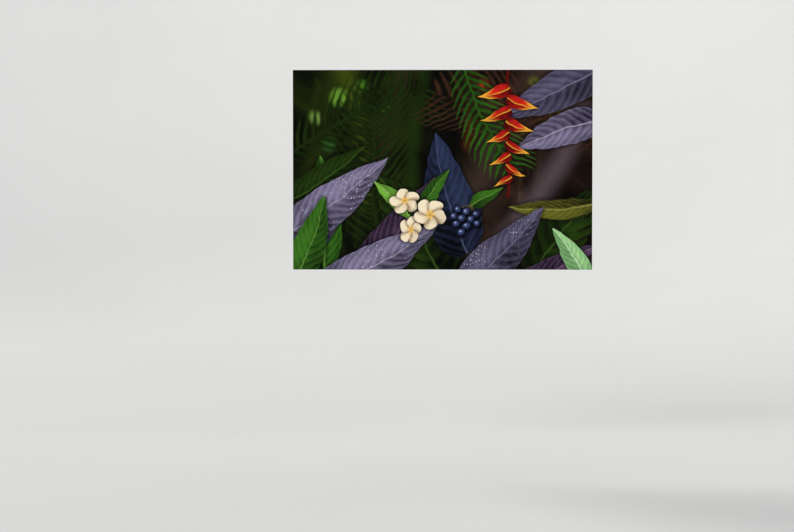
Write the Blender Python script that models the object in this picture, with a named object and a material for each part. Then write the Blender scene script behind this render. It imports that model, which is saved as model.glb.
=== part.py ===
"""A stretched canvas print for a wall: printed cloth wrapped round a pine stretcher frame.

Metres, +Z up. The print faces -Y, the wall is on the +Y side and +X is to the right of a
person who looks at the print. The origin is the centre of the whole object's box.
"""

import math

import bmesh
import bpy
from mathutils import Matrix, Vector

# Driving dimensions of the picture
WIDTH = 1.500
HEIGHT = 1.000
PICTURE_DEPTH = 0.038  # from the print's face to the back of its turned-over hem
GAP = 0.0003  # between pieces that touch
OVERSHOOT = 0.002  # how far a cutter runs past the surface that it cuts

# Cloth
CLOTH = 0.0005
HEM = 0.028  # cloth turned over onto the back of the bars
EDGE_RADIUS = 0.0015

# Stretcher bars
BAR_WIDTH = 0.045
LIP_WIDTH = 0.007  # the raised rim that the cloth lies on
LIP_HEIGHT = 0.003
FRONT_SLOPE = 0.0075  # how far the bar's inner edge stays clear of the cloth
ROUNDING_MIDDLE = 0.3  # share of the rounding's size that its middle point lies in from both faces

# Cross braces, set in from the back
BRACE_WIDTH = 0.045
BRACE_THICKNESS = 0.016
BRACE_RECESS = 0.013
TENON_WIDTH = 0.025
TENON_THICKNESS = 0.006
TENON_LENGTH = 0.018

# Corner keys: flat wedges driven into slots at each inside corner
KEY_LENGTH = 0.032
KEY_THICKNESS = 0.004
KEY_SUNK = 0.009
KEY_NARROW = 0.004  # how far the end at the corner stands out of its slot
KEY_WIDE = 0.011
KEY_LEVELS = (0.011, 0.017)  # depth below the back of the bars: level bars, upright bars

# Strap hangers with a D-ring, screwed to the upright bars
STRAP_DROP = 0.215  # from the top of the picture to the ring's straight side
STRAP_INSET = 0.0375  # from the side of the picture to the strap's centre line
STRAP_WIDTH = 0.010
STRAP_LENGTH = 0.036
STRAP_THICKNESS = 0.0016
STRAP_HOLES = (0.012, 0.027)  # below the ring's straight side
EYE_RADIUS = 0.0021
RING_WIRE = 0.001  # radius of the ring's wire
RING_HALF_WIDTH = 0.0070
RING_FILLET = 0.0015
RING_SIDE = 0.0045
RING_ROUND_STEPS = 8
FILLET_STEPS = 2

# Pan-head wood screws
SCREW_HEAD_RADIUS = 0.0031
SCREW_HEAD_HEIGHT = 0.0016
SCREW_SHANK_RADIUS = 0.0013
SCREW_LENGTH = 0.014
HEAD_RIM = 0.45  # share of the head's height that is upright
HEAD_SHOULDER = (0.72, 0.88)  # shares of the head's radius and height where its dome turns over
ROUND_SIDES = 32

# Rubber bumpers that keep the lower corners off the wall
BUMPER_HEIGHT = 0.004
BUMPER_RADIUS = 0.006
BUMPER_TIP_RADIUS = 0.0048
BUMPER_INSET = 0.016

# Planes across the depth, worked out from the sizes above
TOTAL_DEPTH = PICTURE_DEPTH + GAP + BUMPER_HEIGHT
PRINT_FACE = -TOTAL_DEPTH / 2
HEM_BACK = PRINT_FACE + PICTURE_DEPTH
TIMBER_FRONT = PRINT_FACE + CLOTH + GAP
TIMBER_BACK = HEM_BACK - CLOTH - GAP
FRAME_WIDTH = WIDTH - 2 * (CLOTH + GAP)
FRAME_HEIGHT = HEIGHT - 2 * (CLOTH + GAP)
INNER_WIDTH = FRAME_WIDTH - 2 * BAR_WIDTH
INNER_HEIGHT = FRAME_HEIGHT - 2 * BAR_WIDTH
BRACE_BACK = TIMBER_BACK - BRACE_RECESS
BRACE_MIDDLE = BRACE_BACK - BRACE_THICKNESS / 2

# Colours as linear red, green, blue, then metallic and roughness
PRINTED_CLOTH = ((0.030, 0.045, 0.028), 0.0, 0.65)
PINE = ((0.62, 0.42, 0.23), 0.0, 0.60)
BEECH = ((0.66, 0.46, 0.28), 0.0, 0.55)
ZINC = ((0.62, 0.62, 0.60), 1.0, 0.35)
BLACK_RUBBER = ((0.020, 0.020, 0.020), 0.0, 0.80)


def clear_scene():
    for obj in list(bpy.data.objects):
        bpy.data.objects.remove(obj, do_unlink=True)


def paint(obj, finish):
    """Gives the object a Principled material of its own."""
    colour, metallic, roughness = finish
    material = bpy.data.materials.new(obj.name)
    material.use_nodes = True
    shader = material.node_tree.nodes["Principled BSDF"]
    shader.inputs["Base Color"].default_value = (*colour, 1.0)
    shader.inputs["Metallic"].default_value = metallic
    shader.inputs["Roughness"].default_value = roughness
    obj.data.materials.clear()
    obj.data.materials.append(material)


def add_object(name, data):
    obj = bpy.data.objects.new(name, data)
    bpy.context.scene.collection.objects.link(obj)
    return obj


def mesh_from(bm, name):
    """The bmesh as a named mesh, with its normals pointing out."""
    bmesh.ops.recalc_face_normals(bm, faces=bm.faces)
    mesh = bpy.data.meshes.new(name)
    bm.to_mesh(mesh)
    bm.free()
    return mesh


def add_node(name, mesh, finish, parent, location=(0, 0, 0), turn=0.0):
    """A node of the part: turn is its angle about Y."""
    obj = add_object(name, mesh.copy())
    obj.parent = parent
    obj.location = location
    obj.rotation_euler = (0, turn, 0)
    paint(obj, finish)
    return obj


def helper(obj):
    obj.hide_render = True
    obj.display_type = "WIRE"
    return obj


def box_cutter(name, low, high, parent=None):
    """A hidden box from its lowest corner to its highest one."""
    bm = bmesh.new()
    size = Vector(high) - Vector(low)
    middle = (Vector(high) + Vector(low)) / 2
    bmesh.ops.create_cube(bm, size=1.0, matrix=Matrix.Translation(middle) @ Matrix.Diagonal((*size, 1)))
    cutter = helper(add_object(name, mesh_from(bm, name)))
    cutter.parent = parent
    return cutter


def cylinder_mesh(name, radius, length, axis, top_radius=None):
    """A closed cylinder or cone frustum that starts at the origin and runs along +axis."""
    bm = bmesh.new()
    turn = Vector((0, 0, 1)).rotation_difference(Vector(axis)).to_matrix().to_4x4()
    matrix = turn @ Matrix.Translation((0, 0, length / 2))
    far_radius = radius if top_radius is None else top_radius
    bmesh.ops.create_cone(
        bm,
        cap_ends=True,
        segments=ROUND_SIDES,
        radius1=radius,
        radius2=far_radius,
        depth=length,
        matrix=matrix,
    )
    return mesh_from(bm, name)


def boolean(obj, other, operation="DIFFERENCE"):
    modifier = obj.modifiers.new(f"{operation.lower()} {other.name}", "BOOLEAN")
    modifier.operation = operation
    modifier.solver = "EXACT"
    modifier.object = other


def smooth_round(mesh):
    mesh.shade_smooth()
    mesh.set_sharp_from_angle(angle=math.radians(35))


def keep_side(bm, point, normal):
    """Cuts off what lies beyond the plane and closes the cut."""
    whole = bm.verts[:] + bm.edges[:] + bm.faces[:]
    bmesh.ops.bisect_plane(bm, geom=whole, plane_co=point, plane_no=normal, clear_outer=True)
    rim = [edge for edge in bm.edges if edge.is_boundary]
    bmesh.ops.holes_fill(bm, edges=rim)


def canvas_mesh():
    """The cloth as an open box: face, four sides and the hem on the back. Solidify gives its thickness."""
    bm = bmesh.new()
    middle = Matrix.Translation((0, (PRINT_FACE + HEM_BACK) / 2, 0))
    bmesh.ops.create_cube(bm, size=1.0, matrix=middle @ Matrix.Diagonal((WIDTH, PICTURE_DEPTH, HEIGHT, 1)))
    back = next(face for face in bm.faces if face.normal.y > 0.9)
    bmesh.ops.inset_region(bm, faces=[back], thickness=HEM, use_even_offset=True)
    bmesh.ops.delete(bm, geom=[back], context="FACES")
    outer = WIDTH / 2 - EDGE_RADIUS
    folds = [edge for edge in bm.edges if all(abs(vert.co.x) > outer for vert in edge.verts)]
    folds += [edge for edge in bm.edges if all(abs(v.co.z) > HEIGHT / 2 - EDGE_RADIUS for v in edge.verts)]
    folds = [edge for edge in set(folds) if min(vert.co.y for vert in edge.verts) < HEM_BACK - GAP]
    folds.sort(key=lambda edge: tuple(edge.verts[0].co + edge.verts[1].co))
    bmesh.ops.bevel(
        bm, geom=folds, offset=EDGE_RADIUS, offset_type="OFFSET", segments=3, profile=0.5, affect="EDGES"
    )
    return mesh_from(bm, "canvas")


def make_canvas(parent):
    canvas = add_node("canvas", canvas_mesh(), PRINTED_CLOTH, parent)
    thickness = canvas.modifiers.new("cloth thickness", "SOLIDIFY")
    thickness.thickness = CLOTH
    thickness.offset = -1.0
    thickness.use_even_offset = True


def bar_profile():
    """The bar's section as (distance in from the outer edge, depth) pairs."""
    rounding = EDGE_RADIUS - CLOTH
    return [
        (0.0, TIMBER_BACK),
        (0.0, TIMBER_FRONT + rounding),
        (rounding * ROUNDING_MIDDLE, TIMBER_FRONT + rounding * ROUNDING_MIDDLE),
        (rounding, TIMBER_FRONT),
        (LIP_WIDTH, TIMBER_FRONT),
        (LIP_WIDTH + LIP_HEIGHT, TIMBER_FRONT + LIP_HEIGHT),
        (BAR_WIDTH, TIMBER_FRONT + FRONT_SLOPE),
        (BAR_WIDTH, TIMBER_BACK),
    ]


def bar_mesh(length):
    """A bar along X with its outer edge at z = 0 and both ends mitred at 45 degrees."""
    bm = bmesh.new()
    ring = [bm.verts.new((-length / 2, depth, -inset)) for inset, depth in bar_profile()]
    end = bm.faces.new(ring)
    swept = bmesh.ops.extrude_face_region(bm, geom=[end])["geom"]
    moved = [item for item in swept if isinstance(item, bmesh.types.BMVert)]
    bmesh.ops.translate(bm, verts=moved, vec=(length, 0, 0))
    bmesh.ops.recalc_face_normals(bm, faces=bm.faces)
    for side in (-1, 1):
        mitre = Vector((side, 0, -1)).normalized()
        corner = Vector((side * length / 2, 0, 0))
        keep_side(bm, corner - mitre * GAP / 2, mitre)
        keep_side(bm, corner - Vector((side * EDGE_RADIUS, 0, 0)), Vector((side, 0, 1)).normalized())
    return mesh_from(bm, "stretcher_bar")


def cut_key_slots(bar, length, level):
    """One slot at each end of the bar's inner side, for its corner key."""
    middle = TIMBER_BACK - level
    half = KEY_THICKNESS / 2 + GAP
    inner_end = length / 2 - BAR_WIDTH
    for side, label in ((-1, "a"), (1, "b")):
        near, far = sorted((side * (inner_end + GAP), side * (inner_end - KEY_LENGTH - GAP)))
        low = (near, middle - half, -BAR_WIDTH - OVERSHOOT)
        high = (far, middle + half, -BAR_WIDTH + KEY_SUNK + GAP)
        boolean(bar, box_cutter(f"{bar.name}_slot_{label}", low, high, bar))


def cut_mortise(bar):
    """The hole at the bar's middle that takes a brace's tenon."""
    half_width = TENON_WIDTH / 2 + GAP
    half_depth = TENON_THICKNESS / 2 + GAP
    low = (-half_width, BRACE_MIDDLE - half_depth, -BAR_WIDTH - OVERSHOOT)
    high = (half_width, BRACE_MIDDLE + half_depth, -BAR_WIDTH + TENON_LENGTH + GAP)
    boolean(bar, box_cutter(f"{bar.name}_mortise", low, high, bar))


def make_bars(parent):
    """Four mitred bars, each turned about Y so that its outer edge faces away from the middle."""
    bars = {}
    for place, quarter in (("top", 0), ("right", 1), ("bottom", 2), ("left", 3)):
        upright = quarter % 2 == 1
        length = FRAME_HEIGHT if upright else FRAME_WIDTH
        angle = quarter * math.pi / 2
        location = (math.sin(angle) * FRAME_WIDTH / 2, 0, math.cos(angle) * FRAME_HEIGHT / 2)
        bar = add_node(f"stretcher_bar_{place}", bar_mesh(length), PINE, parent, location, angle)
        cut_key_slots(bar, length, KEY_LEVELS[upright])
        cut_mortise(bar)
        bars[place] = bar
    return bars


def brace_mesh(span):
    """A board along X between two bars, with a tenon on each end."""
    bm = bmesh.new()
    half = span / 2 - GAP
    size = Matrix.Diagonal((2 * half, BRACE_THICKNESS, BRACE_WIDTH, 1))
    bmesh.ops.create_cube(bm, size=1.0, matrix=Matrix.Translation((0, BRACE_MIDDLE, 0)) @ size)
    for side in (-1, 1):
        end = next(face for face in bm.faces if face.normal.x * side > 0.9)
        shoulder = (BRACE_THICKNESS - TENON_THICKNESS) / 2
        bmesh.ops.inset_region(bm, faces=[end], thickness=shoulder, use_even_offset=True)
        root = end.verts[:]
        middle = end.calc_center_median()
        across = TENON_WIDTH / (BRACE_WIDTH - 2 * shoulder)
        narrow = Matrix.Translation(middle) @ Matrix.Diagonal((1, 1, across, 1)) @ Matrix.Translation(-middle)
        bmesh.ops.transform(bm, matrix=narrow, verts=root)
        tenon = bmesh.ops.extrude_discrete_faces(bm, faces=[end])["faces"][0]
        bmesh.ops.translate(bm, verts=tenon.verts[:], vec=(side * TENON_LENGTH, 0, 0))
    return mesh_from(bm, "brace")


def make_braces(parent):
    """Two braces that cross at the middle with a half lap, the upright one in front."""
    level = add_node("brace_horizontal", brace_mesh(INNER_WIDTH), PINE, parent)
    upright = add_node("brace_vertical", brace_mesh(INNER_HEIGHT), PINE, parent, turn=math.pi / 2)
    half = BRACE_WIDTH / 2 + GAP
    low = (-half, BRACE_BACK - BRACE_THICKNESS - OVERSHOOT, -half)
    high = (half, BRACE_MIDDLE + GAP / 2, half)
    boolean(level, box_cutter("lap_front", low, high, parent))
    low = (-half, BRACE_MIDDLE - GAP / 2, -half)
    high = (half, BRACE_BACK + OVERSHOOT, half)
    boolean(upright, box_cutter("lap_back", low, high, parent))


def key_mesh():
    """A wedge in the XZ plane: its long edge sunk below z = 0, narrow at x = 0 and wide at the far end."""
    bm = bmesh.new()
    outline = [
        (GAP, -KEY_SUNK),
        (KEY_LENGTH, -KEY_SUNK),
        (KEY_LENGTH, KEY_WIDE),
        (GAP, KEY_NARROW),
    ]
    front = [bm.verts.new((x, -KEY_THICKNESS / 2, z)) for x, z in outline]
    face = bm.faces.new(front)
    swept = bmesh.ops.extrude_face_region(bm, geom=[face])["geom"]
    moved = [item for item in swept if isinstance(item, bmesh.types.BMVert)]
    bmesh.ops.translate(bm, verts=moved, vec=(0, KEY_THICKNESS, 0))
    return mesh_from(bm, "corner_key")


def mirrored(mesh):
    """The same mesh seen in a mirror across X."""
    bm = bmesh.new()
    bm.from_mesh(mesh)
    bmesh.ops.scale(bm, vec=(-1, 1, 1), verts=bm.verts)
    return mesh_from(bm, f"{mesh.name}_mirrored")


def make_keys(parent):
    """Two keys at each inside corner, one in each bar's slot."""
    wedge = key_mesh()
    flipped = mirrored(wedge)
    level_depth, upright_depth = (TIMBER_BACK - level for level in KEY_LEVELS)
    corners = (
        ("top_left", -1, 1),
        ("top_right", 1, 1),
        ("bottom_left", -1, -1),
        ("bottom_right", 1, -1),
    )
    for place, across, up in corners:
        level_mesh, upright_mesh = (wedge, flipped) if across == up else (flipped, wedge)
        corner_x, corner_z = across * INNER_WIDTH / 2, up * INNER_HEIGHT / 2
        level_turn = math.pi if up > 0 else 0.0
        level_place = (corner_x, level_depth, corner_z)
        add_node(f"key_{place}_level", level_mesh, BEECH, parent, level_place, level_turn)
        upright_turn = -across * math.pi / 2
        upright_place = (corner_x, upright_depth, corner_z)
        add_node(f"key_{place}_upright", upright_mesh, BEECH, parent, upright_place, upright_turn)


def strap_mesh():
    """The strap: a flat strip with one round end, lying on y = 0 below the ring's straight side."""
    bm = bmesh.new()
    half = STRAP_WIDTH / 2
    outline = [(half, 0.0), (-half, 0.0)]
    turns = ROUND_SIDES // 2
    for step in range(turns + 1):
        angle = math.pi + math.pi * step / turns
        outline.append((half * math.cos(angle), half - STRAP_LENGTH + half * math.sin(angle)))
    face = bm.faces.new([bm.verts.new((x, 0, z)) for x, z in outline])
    swept = bmesh.ops.extrude_face_region(bm, geom=[face])["geom"]
    moved = [item for item in swept if isinstance(item, bmesh.types.BMVert)]
    bmesh.ops.translate(bm, verts=moved, vec=(0, STRAP_THICKNESS, 0))
    return mesh_from(bm, "hanger_strap")


def make_strap(name, parent, location):
    """A strap whose folded end is a tube round the ring's straight side, with two screw holes."""
    strap = add_node(name, strap_mesh(), ZINC, parent, location)
    tube_start = (-STRAP_WIDTH / 2, EYE_RADIUS, 0)
    eye = helper(add_object(f"{name}_eye", cylinder_mesh("eye", EYE_RADIUS, STRAP_WIDTH, (1, 0, 0))))
    eye.parent = strap
    eye.location = tube_start
    boolean(strap, eye, "UNION")
    bore_length = STRAP_WIDTH + 2 * OVERSHOOT
    bore_mesh = cylinder_mesh("eye_bore", RING_WIRE + GAP, bore_length, (1, 0, 0))
    bore = helper(add_object(f"{name}_eye_bore", bore_mesh))
    bore.parent = strap
    bore.location = (-bore_length / 2, EYE_RADIUS, 0)
    boolean(strap, bore)
    for number, drop in enumerate(STRAP_HOLES, start=1):
        hole_length = STRAP_THICKNESS + 2 * OVERSHOOT
        hole_mesh = cylinder_mesh("hole", SCREW_SHANK_RADIUS + GAP, hole_length, (0, 1, 0))
        hole = helper(add_object(f"{name}_hole_{number}", hole_mesh))
        hole.parent = strap
        hole.location = (0, -OVERSHOOT, -drop)
        boolean(strap, hole)


def ring_points():
    """The D-ring's centre line: straight side on z = 0, two short sides and a half circle."""
    inner = RING_HALF_WIDTH - RING_FILLET
    points = []
    for step in range(FILLET_STEPS + 1):
        angle = -math.pi / 2 + math.pi / 2 * step / FILLET_STEPS
        points.append((inner + RING_FILLET * math.cos(angle), RING_FILLET * (1 + math.sin(angle))))
    for step in range(RING_ROUND_STEPS + 1):
        angle = math.pi * step / RING_ROUND_STEPS
        points.append((RING_HALF_WIDTH * math.cos(angle), RING_SIDE + RING_HALF_WIDTH * math.sin(angle)))
    for step in range(FILLET_STEPS + 1):
        angle = math.pi + math.pi / 2 * step / FILLET_STEPS
        points.append((-inner + RING_FILLET * math.cos(angle), RING_FILLET * (1 + math.sin(angle))))
    return points


def make_ring(name, parent, location):
    curve = bpy.data.curves.new(name, "CURVE")
    curve.dimensions = "3D"
    curve.bevel_depth = RING_WIRE
    curve.bevel_resolution = 2
    points = ring_points()
    spline = curve.splines.new("POLY")
    spline.points.add(len(points) - 1)
    for point, (x, z) in zip(spline.points, points):
        point.co = (x, 0, z, 1)
    spline.use_cyclic_u = True
    ring = add_object(name, curve)
    ring.parent = parent
    ring.location = location
    paint(ring, ZINC)


def screw_mesh():
    """A pan-head screw along Y: its head's underside is at y = 0 and its shank runs to -Y."""
    bm = bmesh.new()
    shoulder_radius, shoulder_height = HEAD_SHOULDER
    profile = [
        (0.0, -SCREW_LENGTH),
        (SCREW_SHANK_RADIUS, -SCREW_LENGTH + 2 * SCREW_SHANK_RADIUS),
        (SCREW_SHANK_RADIUS, 0.0),
        (SCREW_HEAD_RADIUS, 0.0),
        (SCREW_HEAD_RADIUS, SCREW_HEAD_HEIGHT * HEAD_RIM),
        (SCREW_HEAD_RADIUS * shoulder_radius, SCREW_HEAD_HEIGHT * shoulder_height),
        (0.0, SCREW_HEAD_HEIGHT),
    ]
    verts = [bm.verts.new((radius, height, 0)) for radius, height in profile]
    edges = [bm.edges.new(pair) for pair in zip(verts, verts[1:])]
    bmesh.ops.spin(
        bm,
        geom=verts + edges,
        cent=(0, 0, 0),
        axis=(0, 1, 0),
        dvec=(0, 0, 0),
        angle=2 * math.pi,
        steps=ROUND_SIDES,
        use_merge=True,
    )
    bmesh.ops.remove_doubles(bm, verts=bm.verts, dist=1e-6)
    mesh = mesh_from(bm, "screw")
    smooth_round(mesh)
    return mesh


def make_hanger(side, place, bar, parent):
    """A strap, its ring and two screws, on the back of an upright bar."""
    centre_x = side * (WIDTH / 2 - STRAP_INSET)
    pivot_z = HEIGHT / 2 - STRAP_DROP
    seat = TIMBER_BACK + GAP
    make_strap(f"hanger_strap_{place}", parent, (centre_x, seat, pivot_z))
    make_ring(f"hanger_ring_{place}", parent, (centre_x, seat + EYE_RADIUS, pivot_z))
    wood_screw = screw_mesh()
    for position, drop in zip(("upper", "lower"), STRAP_HOLES):
        under_head = (centre_x, seat + STRAP_THICKNESS + GAP, pivot_z - drop)
        add_node(f"screw_{place}_{position}", wood_screw, ZINC, parent, under_head)
        pilot_length = SCREW_LENGTH + 2 * OVERSHOOT
        hole_mesh = cylinder_mesh("pilot", SCREW_SHANK_RADIUS + GAP, pilot_length, (0, -1, 0))
        pilot = helper(add_object(f"pilot_{place}_{position}", hole_mesh))
        pilot.parent = parent
        pilot.location = (centre_x, TIMBER_BACK + OVERSHOOT, pivot_z - drop)
        boolean(bar, pilot)


def make_bumper(side, place, parent):
    mesh = cylinder_mesh("bumper", BUMPER_RADIUS, BUMPER_HEIGHT, (0, 1, 0), BUMPER_TIP_RADIUS)
    smooth_round(mesh)
    location = (
        side * (WIDTH / 2 - BUMPER_INSET),
        HEM_BACK + GAP,
        -(HEIGHT / 2 - BUMPER_INSET),
    )
    add_node(f"bumper_{place}", mesh, BLACK_RUBBER, parent, location)


def main():
    clear_scene()
    picture = add_object("picture", None)
    make_canvas(picture)
    bars = make_bars(picture)
    make_braces(picture)
    make_keys(picture)
    for side, place in ((-1, "left"), (1, "right")):
        make_hanger(side, place, bars[place], picture)
        make_bumper(side, place, picture)


main()
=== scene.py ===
"""Looks of a stretched canvas print: printed cloth, pine frame, folded corners, staples and hardware."""

import math
import random

import bmesh
import bpy
from mathutils import Matrix, Vector, noise


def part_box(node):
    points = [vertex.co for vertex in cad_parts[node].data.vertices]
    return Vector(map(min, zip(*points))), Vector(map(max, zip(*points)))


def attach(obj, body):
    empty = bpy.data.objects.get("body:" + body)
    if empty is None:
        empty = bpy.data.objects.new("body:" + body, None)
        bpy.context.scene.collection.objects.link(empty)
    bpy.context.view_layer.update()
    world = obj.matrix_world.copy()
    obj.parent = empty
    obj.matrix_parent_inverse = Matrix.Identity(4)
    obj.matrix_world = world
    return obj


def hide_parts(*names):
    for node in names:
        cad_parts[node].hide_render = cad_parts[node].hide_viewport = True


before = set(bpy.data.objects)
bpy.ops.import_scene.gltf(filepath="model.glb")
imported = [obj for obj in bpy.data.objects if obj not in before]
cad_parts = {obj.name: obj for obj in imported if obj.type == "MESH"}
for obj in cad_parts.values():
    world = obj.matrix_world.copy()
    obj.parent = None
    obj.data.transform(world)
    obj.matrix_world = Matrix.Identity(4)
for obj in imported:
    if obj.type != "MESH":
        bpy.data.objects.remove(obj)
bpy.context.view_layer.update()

# ---------------- the cloth's sizes, in metres
CLOTH_LOW, CLOTH_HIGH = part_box("canvas")
WIDTH = CLOTH_HIGH.x - CLOTH_LOW.x
HEIGHT = CLOTH_HIGH.z - CLOTH_LOW.z
FACE = CLOTH_LOW.y  # the printed face
BACK = CLOTH_HIGH.y  # the hem's outer surface
DEPTH = BACK - FACE
HEM = 0.028
FLAT_WIDTH = WIDTH + 2 * (DEPTH + HEM)
FLAT_HEIGHT = HEIGHT + 2 * (DEPTH + HEM)
# Each pair of hems: its length, its distance from the middle, and whether it is level.
HEM_PAIRS = ((WIDTH, HEIGHT / 2, True), (HEIGHT, WIDTH / 2, False))
CLOTH = 0.0005  # the cloth's thickness
NEAR = 0.0001  # a point this close to a plane lies on it
EDGE_RADIUS = 0.0015
CLOTH_GRID = 0.0125  # the modelled cloth's squares
BAR_LIP = 0.007  # the bars touch the cloth along this rim only
SLACK = 0.0009  # how far the face lies back in the middle
SLACK_WAVE = 0.0006
HEM_FULLNESS = 0.0007  # how far the hem stands off the bars between its staples
HEM_WAVE = 0.0011  # how far the hem's cut edge wanders
THREAD_PITCH = 0.0005
PRINT_GAMMA = 1.10  # deepens the shadows
BLEED = 0.012  # how far the print runs on to the hem
BLEED_BLUR = 0.0003
PRINT_SHARE = 0.86  # the printed side's share of its image's height
INNER_START = 0.88  # where the cloth's inner side starts in it

FLAP_CUTS = 11
FLAP_REACH = 0.052  # from the corner, along the back's upper and lower edges
FLAP_TURN_IN = 0.022  # the same, along the hem's cut edge
FLAP_OVERHANG = 0.0006  # how far a flap covers the cut edge beneath it
FLAP_FULLNESS = 0.0008  # how far the cloth folded away beneath it lifts it
FLAP_EASE = 0.005  # from a fold, where a flap lies flush, to its full lift
WRAP_START = 0.0025  # the side cloth is folded over the end from this far behind the face
WRAP_TIP = 0.0015  # the fold's width there
WRAP_REACH = DEPTH - 0.004  # and at the back
WRAP_LIFT = 0.0006
FLUSH = 0.00018  # a flap starts this far under the cloth that it grows out of

STAPLE_START = 0.030  # from a corner to its first staple
STAPLE_PITCH = 0.052
STAPLE_INSET = 0.017
STAPLE_STRAY = (0.003, 0.0015, 9)  # along the hem, across it and in degrees
STAPLE_WIDTH = 0.0105
STAPLE_WIRE = 0.0011
STAPLE_SHOULDER = 0.7  # where the wire starts to turn down, as a share of half its width
STAPLE_DROP = 0.0016
STAPLE_DENT = 0.009  # the cloth is pressed down this far round a staple
STAPLE_HOLD = 0.012  # and the thicker flap this far
BUMPER_DENT, BUMPER_HOLD = 0.012, 0.010  # the same round a bumper
PRESSED = 0.00018  # how deep

THREAD_RADIUS = 0.00016
THREADS_PER_METRE = 9
THREAD_SIZES = (0.002, 0.008)
THREAD_SWAY, THREAD_CURL = 0.7, 0.9  # shares of its length
THREAD_DIP = 0.0004

# ---------------- the other pieces' sizes
BARS = [f"stretcher_bar_{side}" for side in ("top", "bottom", "left", "right")]
TIMBERS = [*BARS, "brace_horizontal", "brace_vertical"]
KEYS = [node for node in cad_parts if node.startswith("key_")]
SCREWS = [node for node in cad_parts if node.startswith("screw_")]
STRAPS, RINGS, BUMPERS = [
    [f"{kind}_{side}" for side in ("left", "right")] for kind in ("hanger_strap", "hanger_ring", "bumper")
]
BUMPER_PLACES = [(sum(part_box(node), Vector()) / 2).xz for node in BUMPERS]

TIMBER_EDGE, KEY_EDGE, STRAP_EDGE = 0.0007, 0.0003, 0.0002  # how far edges are eased
KNOT_CELLS = 5.2  # knots in each metre of width
HEART = (0.034, 0.050)  # the tree's heart is this far behind and beside a board
RING_FILLET = 0.0015
SCREW_HEAD = 0.0016  # height of a screw's head
SCREW_SHANK = 0.0013
SCREW_LENGTH = 0.013
SCREW_POINT = 0.3  # its point's share of its shank's radius
SCREW_TURNS = (0.5, 1.1)  # the first screw's turn, and from each to the next
HEAD_ROUNDING = 0.62  # of the head's height
RECESS = (1.50, 0.36, 1.3)  # the cross recess: span and width in radii, depth in heights of the head
RECESS_TAPER = 0.45
BUMPER_TIP = 0.80  # its tip's share of its foot's radius
BUMPER_ROUNDING = 0.28  # of its height
DIMPLE = (0.40, 0.06, 0.10)  # a bumper's dimple: its rim and slope in radii, its depth in heights

# ---------------- the studio
LENS, SENSOR = 86.1, 36.0
EYE = (-0.048, FACE - 9.53, -0.140)  # a little below and left of the picture's middle
SIGHT = (-0.228, FACE, -0.482)  # the view's middle, further down and left
FLOOR = CLOTH_LOW.z - 0.95
STAGE_RADIUS, STAGE_WALL, STAGE_SWEEP = 14.0, 9.0, 6.0
WARM, COOL = (1.0, 0.985, 0.96), (0.95, 0.97, 1.0)
# Each light's direction from the picture, strength, softness in degrees and colour.
LIGHTS = {
    "front_left": ((-0.75, -1.0, 0.50), 1.45, 30, WARM),
    "front_right": ((0.80, -1.0, 0.45), 0.60, 50, COOL),
    "back_left": ((-0.90, 1.0, 0.75), 1.45, 20, WARM),
    "back_right": ((0.75, 1.0, 0.40), 0.45, 50, COOL),
}


# ---------------- shader building
def srgb(red, green, blue):
    """Linear colour of a paint chip given as 0 to 255 screen values."""
    linear = []
    for value in (red, green, blue):
        share = value / 255
        linear.append(share / 12.92 if share <= 0.04045 else ((share + 0.055) / 1.055) ** 2.4)
    return (*linear, 1.0)


def as_colour(value):
    return tuple(value) if len(value) == 4 else (*value, 1.0)


def operator(operation, turned=False):
    """A Python operator that adds a Math node. turned puts its own value second."""

    def add_node(self, other):
        values = (other, self) if turned else (self, other)
        return self.graph.math(operation, *values)

    return add_node


class Value:
    """A node's output. Sums on it add Math nodes, so a pattern is written as its own formula."""

    def __init__(self, graph, socket):
        self.graph = graph
        self.socket = socket

    __add__, __radd__ = operator("ADD"), operator("ADD", True)
    __sub__, __rsub__ = operator("SUBTRACT"), operator("SUBTRACT", True)
    __mul__, __rmul__ = operator("MULTIPLY"), operator("MULTIPLY", True)
    __truediv__, __rtruediv__ = operator("DIVIDE"), operator("DIVIDE", True)
    __gt__, __lt__ = operator("GREATER_THAN"), operator("LESS_THAN")
    __pow__ = operator("POWER")

    def __abs__(self):
        return self.graph.math("ABSOLUTE", self)

    def times_plus(self, factor, offset):
        return self.graph.math("MULTIPLY_ADD", self, factor, offset)


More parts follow.
